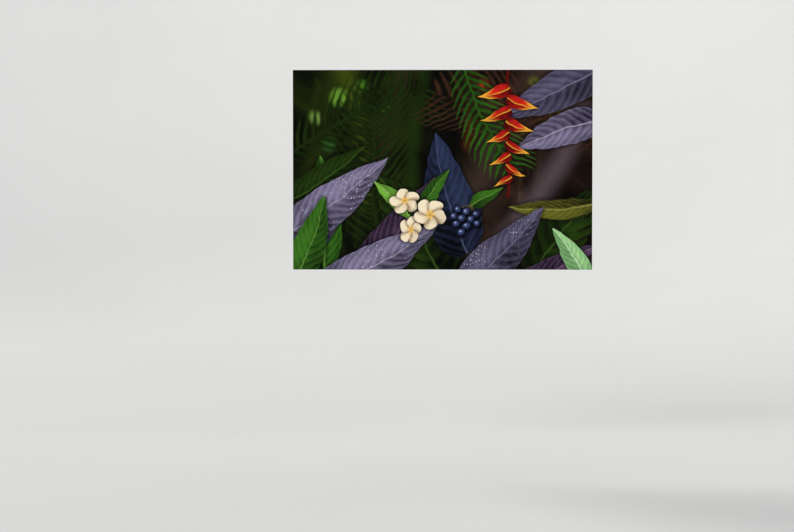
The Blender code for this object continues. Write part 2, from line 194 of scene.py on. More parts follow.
class Graph:
    """Adds nodes to one tree. What it takes may be a number, a colour, a vector or a Value."""

    def __init__(self, tree):
        self.tree = tree

    def feed(self, socket, value):
        if isinstance(value, Value):
            self.tree.links.new(value.socket, socket)
        else:
            socket.default_value = as_colour(value) if socket.type == "RGBA" else value

    def add(self, kind, inputs, **settings):
        """Adds a node and feeds its inputs, which are given by name or number."""
        node = self.tree.nodes.new(kind)
        for name, setting in settings.items():
            setattr(node, name, setting)
        for socket, value in inputs.items():
            self.feed(node.inputs[socket], value)
        return node

    def run(self, kind, inputs, output=0, **settings):
        """Adds a node and gives one of its outputs."""
        return Value(self, self.add(kind, inputs, **settings).outputs[output])

    def feed_all(self, sockets, **values):
        """Feeds sockets by their names, in which an underscore stands for a space."""
        for name, value in values.items():
            self.feed(sockets[name.replace("_", " ")], value)

    def outputs(self, node):
        return {socket.name: Value(self, socket) for socket in node.outputs}

    def coordinates(self):
        return self.run("ShaderNodeTexCoord", {}, "Object")

    def uv(self, name):
        return self.run("ShaderNodeUVMap", {}, "UV", uv_map=name)

    def math(self, operation, *values):
        return self.run("ShaderNodeMath", dict(enumerate(values)), operation=operation)

    def sine(self, value):
        return self.math("SINE", value)

    def vector(self, operation, *values):
        output = "Value" if operation in ("LENGTH", "DOT_PRODUCT", "DISTANCE") else "Vector"
        return self.run("ShaderNodeVectorMath", dict(enumerate(values)), output, operation=operation)

    def dot(self, first, second):
        return self.vector("DOT_PRODUCT", first, second)

    def scaled(self, vector, scale):
        return self.run("ShaderNodeVectorMath", {0: vector, "Scale": scale}, operation="SCALE")

    def mapping(self, vector, location=(0, 0, 0), scale=(1, 1, 1), rotation=(0, 0, 0)):
        inputs = {"Vector": vector, "Location": location, "Rotation": rotation, "Scale": scale}
        return self.run("ShaderNodeMapping", inputs)

    def split(self, vector):
        node = self.add("ShaderNodeSeparateXYZ", {0: vector})
        return [Value(self, socket) for socket in node.outputs]

    def join(self, x, y):
        return self.run("ShaderNodeCombineXYZ", {0: x, 1: y})

    def remap(self, value, low, high, to_low=0.0, to_high=1.0):
        """An eased step: to_low up to low, to_high from high on."""
        inputs = {"Value": value, "From Min": low, "From Max": high, "To Min": to_low, "To Max": to_high}
        return self.run("ShaderNodeMapRange", inputs, interpolation_type="SMOOTHSTEP", clamp=False)

    def mix(self, share, first, second, blend="MIX"):
        inputs = {"Factor": share, 6: first, 7: second}
        return self.run("ShaderNodeMix", inputs, 2, data_type="RGBA", blend_type=blend, clamp_factor=True)

    def blend(self, share, first, second):
        """A number between two numbers."""
        inputs = {"Factor": share, 2: first, 3: second}
        return self.run("ShaderNodeMix", inputs, data_type="FLOAT", clamp_factor=True)

    def noise(self, vector, scale, detail=2.0, roughness=0.5, distortion=0.0, dimensions="2D"):
        inputs = {"Vector": vector, "Scale": scale, "Detail": detail, "Roughness": roughness}
        inputs["Distortion"] = distortion
        return self.run("ShaderNodeTexNoise", inputs, noise_dimensions=dimensions)

    def cells(self, vector, scale):
        inputs = {"Vector": vector, "Scale": scale}
        return self.outputs(self.add("ShaderNodeTexVoronoi", inputs, voronoi_dimensions="2D"))

    def ramp(self, value, stops):
        """A colour ramp: stops are places, each with its paint chip."""
        node = self.add("ShaderNodeValToRGB", {0: value})
        band = node.color_ramp
        while len(band.elements) < len(stops):
            band.elements.new(0.5)
        for element, (place, chip) in zip(band.elements, stops):
            element.position = place
            element.color = srgb(*chip)
        return Value(self, node.outputs[0])

    def gamma(self, colour, power):
        return self.run("ShaderNodeGamma", {"Color": colour, "Gamma": power})

    def bump(self, height, distance, strength):
        return self.run("ShaderNodeBump", {"Height": height, "Distance": distance, "Strength": strength})

    def use(self, group, **values):
        """Places a node group with its own values and gives its outputs by name."""
        node = self.add("ShaderNodeGroup", {}, node_tree=group)
        self.feed_all(node.inputs, **values)
        return self.outputs(node)


def sockets(kind, *labels):
    return [(label, f"NodeSocket{kind}") for label in labels]


def new_group(name, inputs, outputs):
    """An empty node group, its graph, its inputs' values and the sockets that take its results."""
    tree = bpy.data.node_groups.new(name, "ShaderNodeTree")
    for way, listed in (("INPUT", inputs), ("OUTPUT", outputs)):
        for label, kind in listed:
            tree.interface.new_socket(label, in_out=way, socket_type=kind)
    g = Graph(tree)
    given = g.outputs(g.add("NodeGroupInput", {}))
    return tree, g, given, g.add("NodeGroupOutput", {}).inputs


# ---------------- the printed design's motifs
PLACED = sockets("Color", "Under") + sockets("Vector", "Sheet", "Root", "Aim")
COLOUR = sockets("Color", "Colour")
DEEP_SHADE = (0.002, 0.002, 0.002)
WET_SPECK = (0.62, 0.60, 0.72)
BERRY_SHINE = (0.72, 0.78, 0.92)
PETALS = 5


def from_root(g, given):
    return g.vector("SUBTRACT", given["Sheet"], given["Root"])


def to_local(g, given):
    """The sheet's place measured from a motif's root, along it and across it."""
    offset = from_root(g, given)
    left = g.vector("CROSS_PRODUCT", (0.0, 0.0, 1.0), given["Aim"])
    return g.dot(offset, given["Aim"]), g.dot(offset, left)


def to_middle_line(g, given):
    """How far along a motif the sheet's place lies, the same as a share, and how far off its bend."""
    along, across = to_local(g, given)
    t = along / given["Length"]
    return along, t, across - t * t * given["Bend"]


def soft_mask(g, inside, blur):
    return g.remap(inside, blur * -1.0, blur)


def lay_over(g, given, result, mask, paint, halo=None):
    """Lays a motif's paint, and the shade round it, over what lies beneath."""
    ground = given["Under"] if halo is None else g.mix(halo, given["Under"], DEEP_SHADE)
    g.feed(result["Colour"], g.mix(mask, ground, paint))


def make_leaf_group():
    """A bent, pointed leaf with a rib, curved side veins, a shaded half and a soft edge."""
    numbers = ("Length", "Half width", "Base", "Tip", "Bend", "Veins", "Relief", "Pale veins", "Splits")
    inputs = PLACED + sockets("Float", *numbers, "Tip tint", "Lit side", "Blur", "Mottle", "Specks")
    inputs += sockets("Color", "Dark", "Light", "Rib")
    tree, g, given, result = new_group("printed leaf", inputs, COLOUR)
    _, t, off = to_middle_line(g, given)
    blur = given["Blur"]
    side = abs(off)
    half = t ** given["Base"] * (1.0 - t) ** given["Tip"] * given["Half width"]
    some_half = g.math("MAXIMUM", half, 0.001)
    share = g.math("MINIMUM", side / some_half, 1.0)
    curve = share.times_plus(0.09, 0.10) * share
    turn = (t - curve) * given["Veins"] * math.pi
    groove = abs(g.sine(turn)) ** 0.30
    split = g.remap(groove, 0.55, 0.80, 1.0, 0.0) * g.remap(share, 0.25, 0.55)
    inside = half - side - split * given["Splits"] * half
    gate = g.remap(g.math("MINIMUM", t, 1.0 - t) * given["Length"], 0.0, blur)
    mask = soft_mask(g, inside, blur) * gate
    halo = g.remap(inside, blur.times_plus(-2.0, -0.020), 0.004, 0.0, 0.6) * gate
    relief = g.sine(turn * 2.0).times_plus(0.13, groove.times_plus(0.34, -0.22))
    lean = off / some_half * given["Lit side"]
    tone = relief * given["Relief"] + g.remap(lean, -0.35, 0.35, -0.20, 0.12)
    tone = given["Mottle"].times_plus(0.95, tone) + g.remap(t, 0.0, 0.5, -0.35, 0.0)
    gloss = g.remap(abs(lean - 0.42), 0.0, 0.45, 0.20, 0.0)
    tone = gloss.times_plus(groove * 1.3, tone)
    tone = tone + g.remap(inside, 0.0, blur.times_plus(1.6, 0.0022), 0.22, 0.0)
    blade = g.mix(tone, given["Dark"], given["Light"])
    rib_half = t.times_plus(-0.0032, 0.0038)
    rib = g.remap(side, rib_half * 0.2, rib_half + blur, 0.7, 0.0)
    vein = g.remap(groove, 0.35, 0.72, 1.0, 0.0) * given["Pale veins"]
    rim = g.remap(share.times_plus(0.25, t), 0.62, 0.98) * given["Tip tint"]
    blade = g.mix(g.math("MAXIMUM", g.math("MAXIMUM", rib, vein), rim), blade, given["Rib"])
    blade = g.mix(given["Specks"], blade, WET_SPECK)
    lay_over(g, given, result, mask, blade, halo)
    return tree


def make_frond_group():
    """A palm or fern frond: thin leaflets leave a bent stalk on both sides and curve towards its tip."""
    inputs = PLACED + sockets("Float", "Length", "Reach", "Bend", "Leaflets", "Blur", "Mottle")
    inputs += sockets("Color", "Dark", "Light")
    tree, g, given, result = new_group("printed frond", inputs, COLOUR)
    along, t, off = to_middle_line(g, given)
    blur = given["Blur"]
    side = abs(off)
    share = side / given["Reach"]
    back = share.times_plus(0.45, 0.55) * side
    start = (along - back) / given["Length"]
    phase = start.times_plus(given["Leaflets"], (off > 0.0) * 0.5)
    cell = abs(g.math("FRACT", phase) - 0.5)
    reach = start**0.45 * (1.0 - start) ** 0.35 * 1.75
    left = 1.0 - share / g.math("MAXIMUM", reach, 0.02)
    pitch = given["Length"] / given["Leaflets"]
    inside = (left**0.7 * 0.40 - cell) * pitch
    live = g.remap(left, 0.0, 0.06) * ((start > 0.0) * (start < 1.0))
    stalk = g.remap(side, 0.0015, blur + 0.004, 1.0, 0.0)
    stalk = stalk * (g.remap(t, 0.80, 0.95, 1.0, 0.0) * g.remap(t, -0.02, 0.0))
    mask = g.math("MAXIMUM", soft_mask(g, inside, blur) * live, stalk)
    tone = given["Mottle"].times_plus(0.9, cell * -1.2)
    tone = share.times_plus(0.35, tone) + 0.05
    blade = g.mix(g.blend(stalk, tone, 0.55), given["Dark"], given["Light"])
    lay_over(g, given, result, mask, blade)
    return tree


def make_glow_group():
    """A soft streak with round ends: a stem out of focus, or a disc of light where its length is nothing."""
    inputs = PLACED + sockets("Float", "Length", "Half width", "Bend", "Blur", "Strength")
    tree, g, given, result = new_group("printed glow", inputs + sockets("Color", "Tint"), COLOUR)
    along, _, off = to_middle_line(g, given)
    overrun = g.math("MAXIMUM", abs(along) - given["Length"], 0.0)
    inside = given["Half width"] - g.vector("LENGTH", g.join(overrun, off))
    mask = soft_mask(g, inside, given["Blur"]) * given["Strength"]
    lay_over(g, given, result, mask, given["Tint"])
    return tree


def make_berry_group():
    """A round, waxy berry lit from the upper left."""
    inputs = sockets("Color", "Under") + sockets("Vector", "Sheet", "Root")
    inputs += sockets("Float", "Radius", "Blur") + sockets("Color", "Dark", "Light")
    tree, g, given, result = new_group("printed berry", inputs, COLOUR)
    radius = given["Radius"]
    local = g.scaled(from_root(g, given), 1.0 / radius)
    inside = (1.0 - g.vector("LENGTH", local)) * radius
    tone = g.remap(g.vector("DISTANCE", local, (-0.30, 0.38, 0.0)), 0.0, 1.25, 0.9, 0.0)
    ball = g.mix(tone, given["Dark"], given["Light"])
    spark = g.remap(g.vector("DISTANCE", local, (-0.34, 0.42, 0.0)), 0.04, 0.26, 0.7, 0.0)
    ball = g.mix(spark, ball, BERRY_SHINE)
    halo = g.remap(inside, -0.016, 0.002, 0.0, 0.75)
    lay_over(g, given, result, soft_mask(g, inside, given["Blur"]), ball, halo)
    return tree


def make_flower_group():
    """An open flower whose broad petals overlap like a pinwheel."""
    inputs = PLACED + sockets("Float", "Radius", "Squash", "Blur", "Mottle", "Heart size")
    inputs += sockets("Color", "Petal", "Shade", "Heart")
    tree, g, given, result = new_group("printed flower", inputs, COLOUR)
    radius = given["Radius"]
    x, y = to_local(g, given)
    y = y / given["Squash"]
    distance = g.math("SQRT", x.times_plus(x, y * y)) / radius
    bearing = g.math("ARCTAN2", y, x) * (PETALS / (2 * math.pi))
    cell = g.math("FRACT", distance.times_plus(0.34, bearing + 10.0))
    lean = cell - 0.44
    edge = (lean * lean).times_plus(-1.15, 1.0)
    inside = (edge - distance) * radius
    tone = g.remap(cell, -0.10, 0.42) + g.remap(cell, 0.70, 1.0, 0.0, -0.42)
    tone = tone + g.remap(distance, 0.15, 0.75, -0.28, 0.0)
    tone = tone + g.dot(from_root(g, given), (-0.6, 0.8, 0.0)) / radius * 0.26
    tone = given["Mottle"].times_plus(0.9, tone - 0.42)
    petal = g.mix(tone, given["Shade"], given["Petal"])
    ray = abs(lean).times_plus(0.30, distance)
    heart = g.remap(ray, given["Heart size"] * 0.20, given["Heart size"], 0.95, 0.0)
    petal = g.mix(heart, petal, given["Heart"])
    petal = g.mix(g.remap(distance, 0.0, 0.13, 0.8, 0.0), petal, given["Shade"])
    halo = g.remap(inside, -0.026, 0.004, 0.0, 0.75)
    lay_over(g, given, result, soft_mask(g, inside, given["Blur"]), petal, halo)
    return tree


# ---------------- the printed design
# Each paint is a dark tone, a light tone and the colour of ribs and rims.
PAINTS = {
    "lavender": ((34, 30, 46), (140, 132, 162), (180, 173, 196)),
    "slate": ((24, 22, 34), (104, 99, 126), (134, 130, 156)),
    "plum": ((26, 16, 30), (104, 82, 112), (150, 116, 146)),
    "deep green": ((6, 11, 4), (42, 64, 20), (66, 94, 38)),
    "green": ((10, 30, 8), (66, 118, 38), (116, 160, 72)),
    "bright green": ((34, 74, 20), (128, 184, 74), (186, 216, 130)),
    "pale green": ((70, 122, 70), (166, 212, 150), (214, 238, 200)),
    "olive": ((26, 28, 10), (112, 112, 44), (150, 150, 78)),
    "brown": ((18, 12, 9), (84, 56, 40), (108, 78, 58)),
    "navy": ((9, 11, 20), (52, 62, 92), (82, 92, 122)),
    "berry": ((9, 10, 24), (84, 98, 146), (84, 98, 146)),
    "red": ((84, 8, 10), (214, 44, 34), (246, 190, 70)),
    "cream": ((150, 124, 92), (242, 228, 200), (250, 240, 216)),
}
PAINTS = {name: [srgb(*chip) for chip in chips] for name, chips in PAINTS.items()}
FLOWER_HEART = srgb(240, 190, 78)


def heading(turn):
    """The direction, on the sheet, of an angle in degrees from the right."""
    angle = math.radians(turn)
    return math.cos(angle), math.sin(angle), 0.0


class Picture:
    """Paints motifs one over another. Places are metres from the middle of the face, turns are degrees."""

    def __init__(self, g, sheet):
        self.g = g
        far = g.mapping(sheet, location=(7.3, 2.1, 0.0))
        drift = g.join(*[g.noise(place, 7.0, 3, 0.6) - 0.5 for place in (sheet, far)])
        coarse = g.noise(sheet, 5.0, 2)
        fine = g.noise(sheet, 42.0, 4, 0.7)
        self.mottle = fine.times_plus(0.45, coarse.times_plus(0.75, -0.10))
        dots = g.cells(sheet, 70.0)
        size = (g.split(dots["Color"])[0] ** 3.0).times_plus(0.30, 0.03)
        patch = g.remap(g.noise(sheet, 6.0, 2), 0.42, 0.66)
        self.specks = g.remap(dots["Distance"], size * 0.6, size, 0.8, 0.0) * patch
        self.broad = g.noise(g.mapping(sheet, scale=(1.6, 1.0, 1.0)), 2.4, 4, 0.55, 0.8)
        self.place = g.vector("ADD", sheet, g.scaled(drift, 0.030))
        self.groups = {
            "leaf": make_leaf_group(),
            "frond": make_frond_group(),
            "glow": make_glow_group(),
            "berry": make_berry_group(),
            "flower": make_flower_group(),
        }
        self.paint = None

    def lay(self, motif, at, **values):
        group, root = self.groups[motif], (*at, 0.0)
        self.paint = self.g.use(group, Under=self.paint, Sheet=self.place, Root=root, **values)["Colour"]

    def glow(self, tint, at, turn=0, length=0.001, width=0.05, blur=0.02, strength=0.7, bend=0.0):
        self.lay(
            "glow", at, Aim=heading(turn), Length=length, Half_width=width / 2, Bend=bend, Blur=blur,
            Strength=strength, Tint=srgb(*tint),
        )

    def frond(self, paint, at, turn, length, reach, bend, leaflets, blur):
        dark, light, _ = PAINTS[paint]
        self.lay(
            "frond", at, Aim=heading(turn), Length=length, Reach=reach, Bend=bend, Leaflets=leaflets,
            Blur=blur, Mottle=self.mottle, Dark=dark, Light=light,
        )

    def leaf(
        self, paint, at, turn, length, width, bend=0.0, blur=0.002, base=0.6, tip=1.0, veins=13, relief=1.0,
        pale=0.0, lit=1, specks=False, splits=0.0, tip_tint=0.0,
    ):
        """base and tip say how slowly the blade widens and narrows. lit is its lighter side."""
        dark, light, rib = PAINTS[paint]
        peak = base**base * tip**tip / (base + tip) ** (base + tip)
        self.lay(
            "leaf", at, Aim=heading(turn), Length=length, Half_width=width / 2 / peak, Base=base, Tip=tip,
            Bend=bend, Veins=veins, Relief=relief, Pale_veins=pale, Splits=splits, Tip_tint=tip_tint,
            Lit_side=lit, Blur=blur, Mottle=self.mottle, Specks=self.specks if specks else 0.0,
            Dark=dark, Light=light, Rib=rib,
        )

    def berry(self, at, radius):
        dark, light, _ = PAINTS["berry"]
        self.lay("berry", at, Radius=radius, Blur=0.0012, Dark=dark, Light=light)

    def flower(self, at, radius, turn, squash):
        shade, petal, _ = PAINTS["cream"]
        self.lay(
            "flower", at, Aim=heading(turn), Radius=radius, Squash=squash, Blur=0.0015, Mottle=self.mottle,
            Petal=petal, Shade=shade, Heart=FLOWER_HEART, Heart_size=0.5,
        )


def paint_ground(picture):
    """Forest shade out of focus: green on the left, nearly black in the middle, brown on the right."""
    g, broad = picture.g, picture.broad
    x = g.dot(picture.place, (1.0, 0.0, 0.0))
    greens = ((0.30, (5, 6, 3)), (0.48, (18, 24, 8)), (0.62, (40, 50, 14)), (0.80, (72, 88, 28)))
    browns = ((0.30, (10, 7, 5)), (0.50, (32, 22, 17)), (0.66, (60, 44, 35)), (0.80, (88, 72, 66)))
    paint = g.mix(g.remap(x, -0.25, 0.30), g.ramp(broad, greens), g.ramp(broad, browns))
    gap = g.remap(abs(x + 0.02), 0.02, 0.24, 0.12, 1.0)
    picture.paint = g.mix(gap, DEEP_SHADE, paint)


def paint_distance(picture):
    """Blurred stems, discs of light and far fronds."""
    picture.glow((44, 56, 16), (-0.62, 0.10), 78, 0.40, 0.10, 0.060, 0.85)
    picture.glow((70, 84, 22), (-0.42, 0.22), 100, 0.34, 0.07, 0.045, 0.80, bend=0.04)
    picture.glow((62, 46, 34), (-0.26, 0.30), 70, 0.30, 0.08, 0.050, 0.60, bend=-0.03)
    picture.glow((40, 66, 18), (-0.14, 0.20), 84, 0.36, 0.05, 0.035, 0.50, bend=-0.03)
    picture.glow((66, 52, 46), (0.30, 0.16), 62, 0.44, 0.14, 0.075, 0.85)
    picture.glow((100, 86, 92), (0.54, -0.04), 58, 0.36, 0.09, 0.055, 0.75, bend=0.03)
    picture.glow((112, 104, 34), (0.60, 0.36), 70, 0.16, 0.06, 0.045, 0.70)
    picture.glow((90, 42, 16), (0.14, 0.34), 86, 0.22, 0.036, 0.026, 0.55)
    for tint, at, width, strength in [
        ((118, 168, 60), (-0.52, 0.36), 0.080, 0.75), ((146, 180, 92), (-0.64, 0.26), 0.060, 0.60),
        ((92, 150, 46), (-0.40, 0.42), 0.052, 0.60), ((74, 130, 40), (-0.30, 0.32), 0.068, 0.45),
        ((66, 122, 56), (-0.57, 0.13), 0.064, 0.50), ((196, 84, 30), (0.20, 0.42), 0.048, 0.50),
        ((120, 130, 46), (0.46, 0.43), 0.060, 0.45), ((140, 104, 88), (0.66, 0.16), 0.072, 0.40),
    ]:
        picture.glow(tint, at, width=width, strength=strength)
    picture.frond("deep green", (-0.80, 0.05), 38, 0.80, 0.20, -0.16, 17, 0.011)
    picture.frond("brown", (0.80, 0.12), 150, 0.85, 0.19, 0.20, 18, 0.012)
    picture.frond("deep green", (-0.30, -0.55), 100, 0.95, 0.21, -0.14, 19, 0.009)


def paint_undergrowth(picture):
    """Green leaves behind the pale ones."""
    picture.leaf("deep green", (0.02, -0.60), 112, 0.66, 0.30, 0.10, 0.006, 0.5, 0.8, 9, splits=0.7)
    picture.leaf("deep green", (0.40, -0.62), 62, 0.66, 0.28, -0.10, 0.006, 0.5, 0.8, 9, splits=0.7, lit=-1)
    picture.leaf("green", (-0.60, -0.55), 84, 0.62, 0.17, 0.08, 0.005, 0.7, 0.9, lit=-1)
    picture.leaf("deep green", (-0.86, -0.20), 24, 0.56, 0.16, 0.10, 0.005, 0.7, 0.9)
    picture.leaf("navy", (0.13, -0.42), 116, 0.62, 0.27, -0.12, 0.0045, 0.45, 0.95, 11, lit=-1)
    picture.frond("green", (0.08, 0.58), -74, 0.62, 0.15, 0.10, 15, 0.006)
    picture.leaf("olive", (0.80, -0.16), 196, 0.46, 0.10, -0.10, 0.006, 0.7, 0.9, 11)


def paint_pale_leaves(picture):
    """Large grey and lavender leaves that fan out of the lower left corner, and two from the right."""
    picture.leaf("slate", (0.86, 0.56), 214, 0.66, 0.20, -0.08, 0.0035, veins=12, lit=-1)
    picture.leaf("lavender", (0.84, 0.26), 190, 0.50, 0.17, 0.07, 0.0030, veins=11)
    picture.leaf("slate", (-0.80, -0.52), 60, 0.72, 0.20, -0.12, 0.0025, veins=14)
    picture.leaf("lavender", (-0.84, -0.36), 30, 0.70, 0.22, 0.08, veins=14, specks=True)
    picture.leaf("plum", (-0.50, -0.62), 44, 0.74, 0.21, 0.10, veins=14, lit=-1)
    picture.leaf("slate", (0.04, -0.66), 40, 0.66, 0.22, 0.06, veins=13, specks=True)
    picture.leaf("lavender", (-0.70, -0.64), 20, 0.78, 0.22, 0.12, veins=15, specks=True)
    picture.leaf("plum", (0.26, -0.66), 22, 0.60, 0.16, 0.08, veins=13, lit=-1)


def paint_hanging_bracts(picture):
    """A hanging red flower head: boat-shaped bracts leave its stalk to the left and right in turn."""
    stalk_x, top, drop = 0.33, 0.412, 0.055
    picture.glow((96, 18, 14), (stalk_x, 0.24), 90, 0.38, 0.012, 0.003, 0.95)
    for level in range(9):
        side = 1 if level % 2 else -1
        size = 1.0 - 0.055 * level
        at = (stalk_x - side * 0.012, top - drop * level)
        turn = -90 + side * (64 - 3 * level)
        length, width, bend = 0.175 * size, 0.066 * size, side * 0.034
        picture.leaf(
            "red", at, turn, length, width, bend, 0.0014, 0.32, 1.15, veins=3, relief=0.3, lit=side,
            tip_tint=0.85,
        )


def paint_blossoms(picture):
    """Cream flowers and a bunch of dark berries over the pale leaves."""
    picture.leaf("green", (0.136, -0.182), 34, 0.19, 0.066, -0.02, 0.0018, veins=9, pale=0.3)
    for turn, length in [(-118, 0.125), (-96, 0.130), (-138, 0.110), (-76, 0.105), (-160, 0.085)]:
        along, up, _ = heading(turn)
        middle = (0.142 + along * length / 2, -0.172 + up * length / 2)
        picture.glow((104, 92, 52), middle, turn, length / 2, 0.0045, 0.0012, 0.95)
    for x, y, radius in [
        (0.078, -0.206, 0.019), (0.164, -0.224, 0.020), (0.118, -0.214, 0.021), (0.060, -0.240, 0.020),
        (0.142, -0.252, 0.022), (0.096, -0.248, 0.023), (0.172, -0.268, 0.019), (0.072, -0.278, 0.021),
        (0.124, -0.288, 0.023), (0.100, -0.318, 0.021),
    ]:
        picture.berry((x, y), radius)
    picture.leaf("bright green", (-0.16, -0.24), 128, 0.26, 0.085, 0.03, 0.0016, veins=10, pale=0.3)
    picture.leaf("green", (-0.12, -0.22), 62, 0.27, 0.080, -0.03, 0.0016, veins=10, pale=0.3, lit=-1)
    picture.flower((-0.190, -0.160), 0.078, 20, 0.82)
    picture.flower((-0.160, -0.300), 0.070, 70, 0.78)
    picture.flower((-0.062, -0.220), 0.084, -30, 0.92)


def paint_foreground(picture):
    """Two leaves close to the eye, at the picture's lower corners."""
    picture.leaf("green", (-0.78, -0.62), 60, 0.52, 0.17, 0.08, 0.0022, 0.6, 0.9, veins=12, pale=0.3)
    picture.leaf("pale green", (0.74, -0.60), 112, 0.36, 0.11, 0.06, 0.0024, 0.6, 0.9, 10, pale=0.2, lit=-1)


def printed_design(g, sheet):
    """The whole picture as one colour, painted from the back of the scene to the front."""
    picture = Picture(g, sheet)
    paint_ground(picture)
    paint_distance(picture)
    paint_undergrowth(picture)
    paint_pale_leaves(picture)
    paint_hanging_bracts(picture)
    paint_blossoms(picture)
    paint_foreground(picture)
    return g.gamma(picture.paint, PRINT_GAMMA)


# ---------------- shared surface effects
def make_weave_group():
    """Plain-woven canvas: crossing threads, a few thick ones, and the tone they give."""
    outputs = sockets("Float", "Height", "Tone")
    tree, g, given, result = new_group("canvas weave", sockets("Vector", "Sheet"), outputs)
    sheet, half_wave = given["Sheet"], math.pi / THREAD_PITCH
    across, along = g.dot(sheet, (half_wave, 0.0, 0.0)), g.dot(sheet, (0.0, half_wave, 0.0))
    level = g.noise(g.mapping(sheet, scale=(110.0, 1700.0, 1.0)), 1.0, 1)
    upright = g.noise(g.mapping(sheet, scale=(1700.0, 110.0, 1.0)), 1.0, 1)
    thick = level + upright
    height = (g.sine(across) * g.sine(along)).times_plus(0.45, thick * 0.20)
    g.feed_all(result, Height=height, Tone=g.remap(thick, 0.30, 1.70))
    return tree


def make_wood_group():
    """Planed timber, X along the grain and Z across the board: rings, fibre and knots."""
    inputs = sockets("Vector", "Place") + sockets("Float", "Ring", "Knot size")
    outputs = sockets("Float", "Late wood", "Fibre", "Knot", "Height")
    tree, g, given, result = new_group("planed wood", inputs, outputs)
    place = given["Place"]

    def streaks(along, across, detail=2, roughness=0.5):
        drawn_out = g.mapping(place, scale=(along, across, across))
        return g.noise(drawn_out, 1.0, detail, roughness, dimensions="3D")

    x, y, z = g.split(place)
    cells = g.cells(g.join(x * (KNOT_CELLS * 0.8), z * KNOT_CELLS), 1.0)
    size = g.split(cells["Color"])[0].times_plus(1.1, 0.35) * given["Knot size"]
    uneven = streaks(170.0, 170.0, 2, 0.6)
    to_knot = uneven.times_plus(0.0028, cells["Distance"] / KNOT_CELLS)
    knot = g.remap(to_knot, size * 0.90, size * 1.15, 1.0, 0.0)
    rim = g.remap(abs(to_knot - size), 0.0, size * 0.28, 0.42, 0.0)
    push = g.remap(to_knot, 0.0, size * 4.5, size * 1.6, 0.0)  # a knot pushes the rings aside
    deep, wide = y + HEART[0], z + HEART[1]
    radius = g.math("SQRT", deep.times_plus(deep, wide * wide))
    radius = streaks(1.3, 5.0).times_plus(0.040, radius) + push
    radius = streaks(6.0, 40.0).times_plus(0.0022, radius)
    year = g.math("FRACT", radius / given["Ring"])
    broad = streaks(3.0, 60.0)
    late = year**2.2 * g.remap(year, 0.88, 1.0, 1.0, 0.0) * g.remap(broad, 0.25, 0.65, 0.45, 1.25)
    fibre = streaks(12.0, 900.0, 3, 0.65)
    circles = g.sine(to_knot * 3600.0)
    knot_tone = circles.times_plus(0.07, uneven.times_plus(0.25, 0.42)) * knot
    height = knot.times_plus(0.5, late.times_plus(0.5, fibre * 0.7))
    tone = broad.times_plus(0.45, fibre * 0.55)
    g.feed_all(result, Late_wood=late, Fibre=tone, Knot=knot_tone + rim, Height=height)
    return tree


def make_grime_group():
    """Handling marks and dust: a broad cloud, a fine one, and patches of scratches."""
    inputs = sockets("Vector", "Place") + sockets("Float", "Size")
    tree, g, given, result = new_group("handling marks", inputs, sockets("Float", "Cloud", "Fine", "Scratch"))
    place = g.scaled(given["Place"], 1.0 / given["Size"])
    drawn_out = g.mapping(place, rotation=(0.5, 0.9, 0.3), scale=(0.7, 26.0, 0.7))
    lines = g.noise(drawn_out, 1.0, 2, dimensions="3D")
    patch = g.remap(g.noise(place, 2.3, 2, dimensions="3D"), 0.46, 0.62)
    cloud = g.remap(g.noise(place, 1.0, 3, dimensions="3D"), 0.35, 0.70)
    fine = g.noise(place, 14.0, 4, 0.7, dimensions="3D")
    g.feed_all(result, Cloud=cloud, Fine=fine, Scratch=g.remap(lines, 0.64, 0.70) * patch)
    return tree


# ---------------- materials
def new_material(name, **fixed):
    """A material, its graph and its shader's sockets. fixed gives the values that are the same all over."""
    material = bpy.data.materials.new(name)
    material.use_nodes = True
    g = Graph(material.node_tree)
    shader = material.node_tree.nodes["Principled BSDF"].inputs
    g.feed_all(shader, **fixed)
    return material, g, shader


def make_print_material(weave):
    """Matt ink on primed canvas. The ink runs round the sides and ends in a straight line on the hem."""
    material, g, shader = new_material("printed canvas", Specular_IOR_Level=0.03)
    sheet = g.uv("sheet")
    paint = printed_design(g, sheet)
    thread = g.use(weave, Sheet=sheet)
    paint = g.mix(g.remap(thread["Tone"], 0.0, 1.0, 0.14, 0.0), paint, (0.0, 0.0, 0.0))
    size = g.vector("ABSOLUTE", sheet)
    over_side, over_end = g.dot(size, (1.0, 0.0, 0.0)) - WIDTH / 2, g.dot(size, (0.0, 1.0, 0.0)) - HEIGHT / 2
    ink_end = DEPTH + BLEED
    bare = g.remap(g.math("MAXIMUM", over_side, over_end), ink_end - BLEED_BLUR, ink_end + BLEED_BLUR)
    primed = g.mix(thread["Tone"], srgb(220, 217, 208), srgb(238, 236, 229))
    roughness = g.remap(thread["Tone"], 0.0, 1.0, 0.86, 0.70)
    relief = g.bump(thread["Height"], 0.00006, 0.6)
    g.feed_all(shader, Base_Color=g.mix(bare, paint, primed), Roughness=roughness, Normal=relief)
    return material


def make_raw_canvas_material(weave):
    """The cloth's unprimed inner side."""
    material, g, shader = new_material("raw canvas", Roughness=0.95, Specular_IOR_Level=0.1)
    sheet = g.uv("sheet")
    thread = g.use(weave, Sheet=sheet)
    tone = g.mix(g.remap(g.noise(sheet, 3.0, 3), 0.35, 0.70), srgb(226, 217, 199), srgb(219, 209, 189))
    shaded = g.mix(1.0, tone, (0.90, 0.90, 0.89), "MULTIPLY")
    relief = g.bump(thread["Height"], 0.00012, 0.9)
    g.feed_all(shader, Base_Color=g.mix(thread["Tone"], shaded, tone), Normal=relief)
    return material


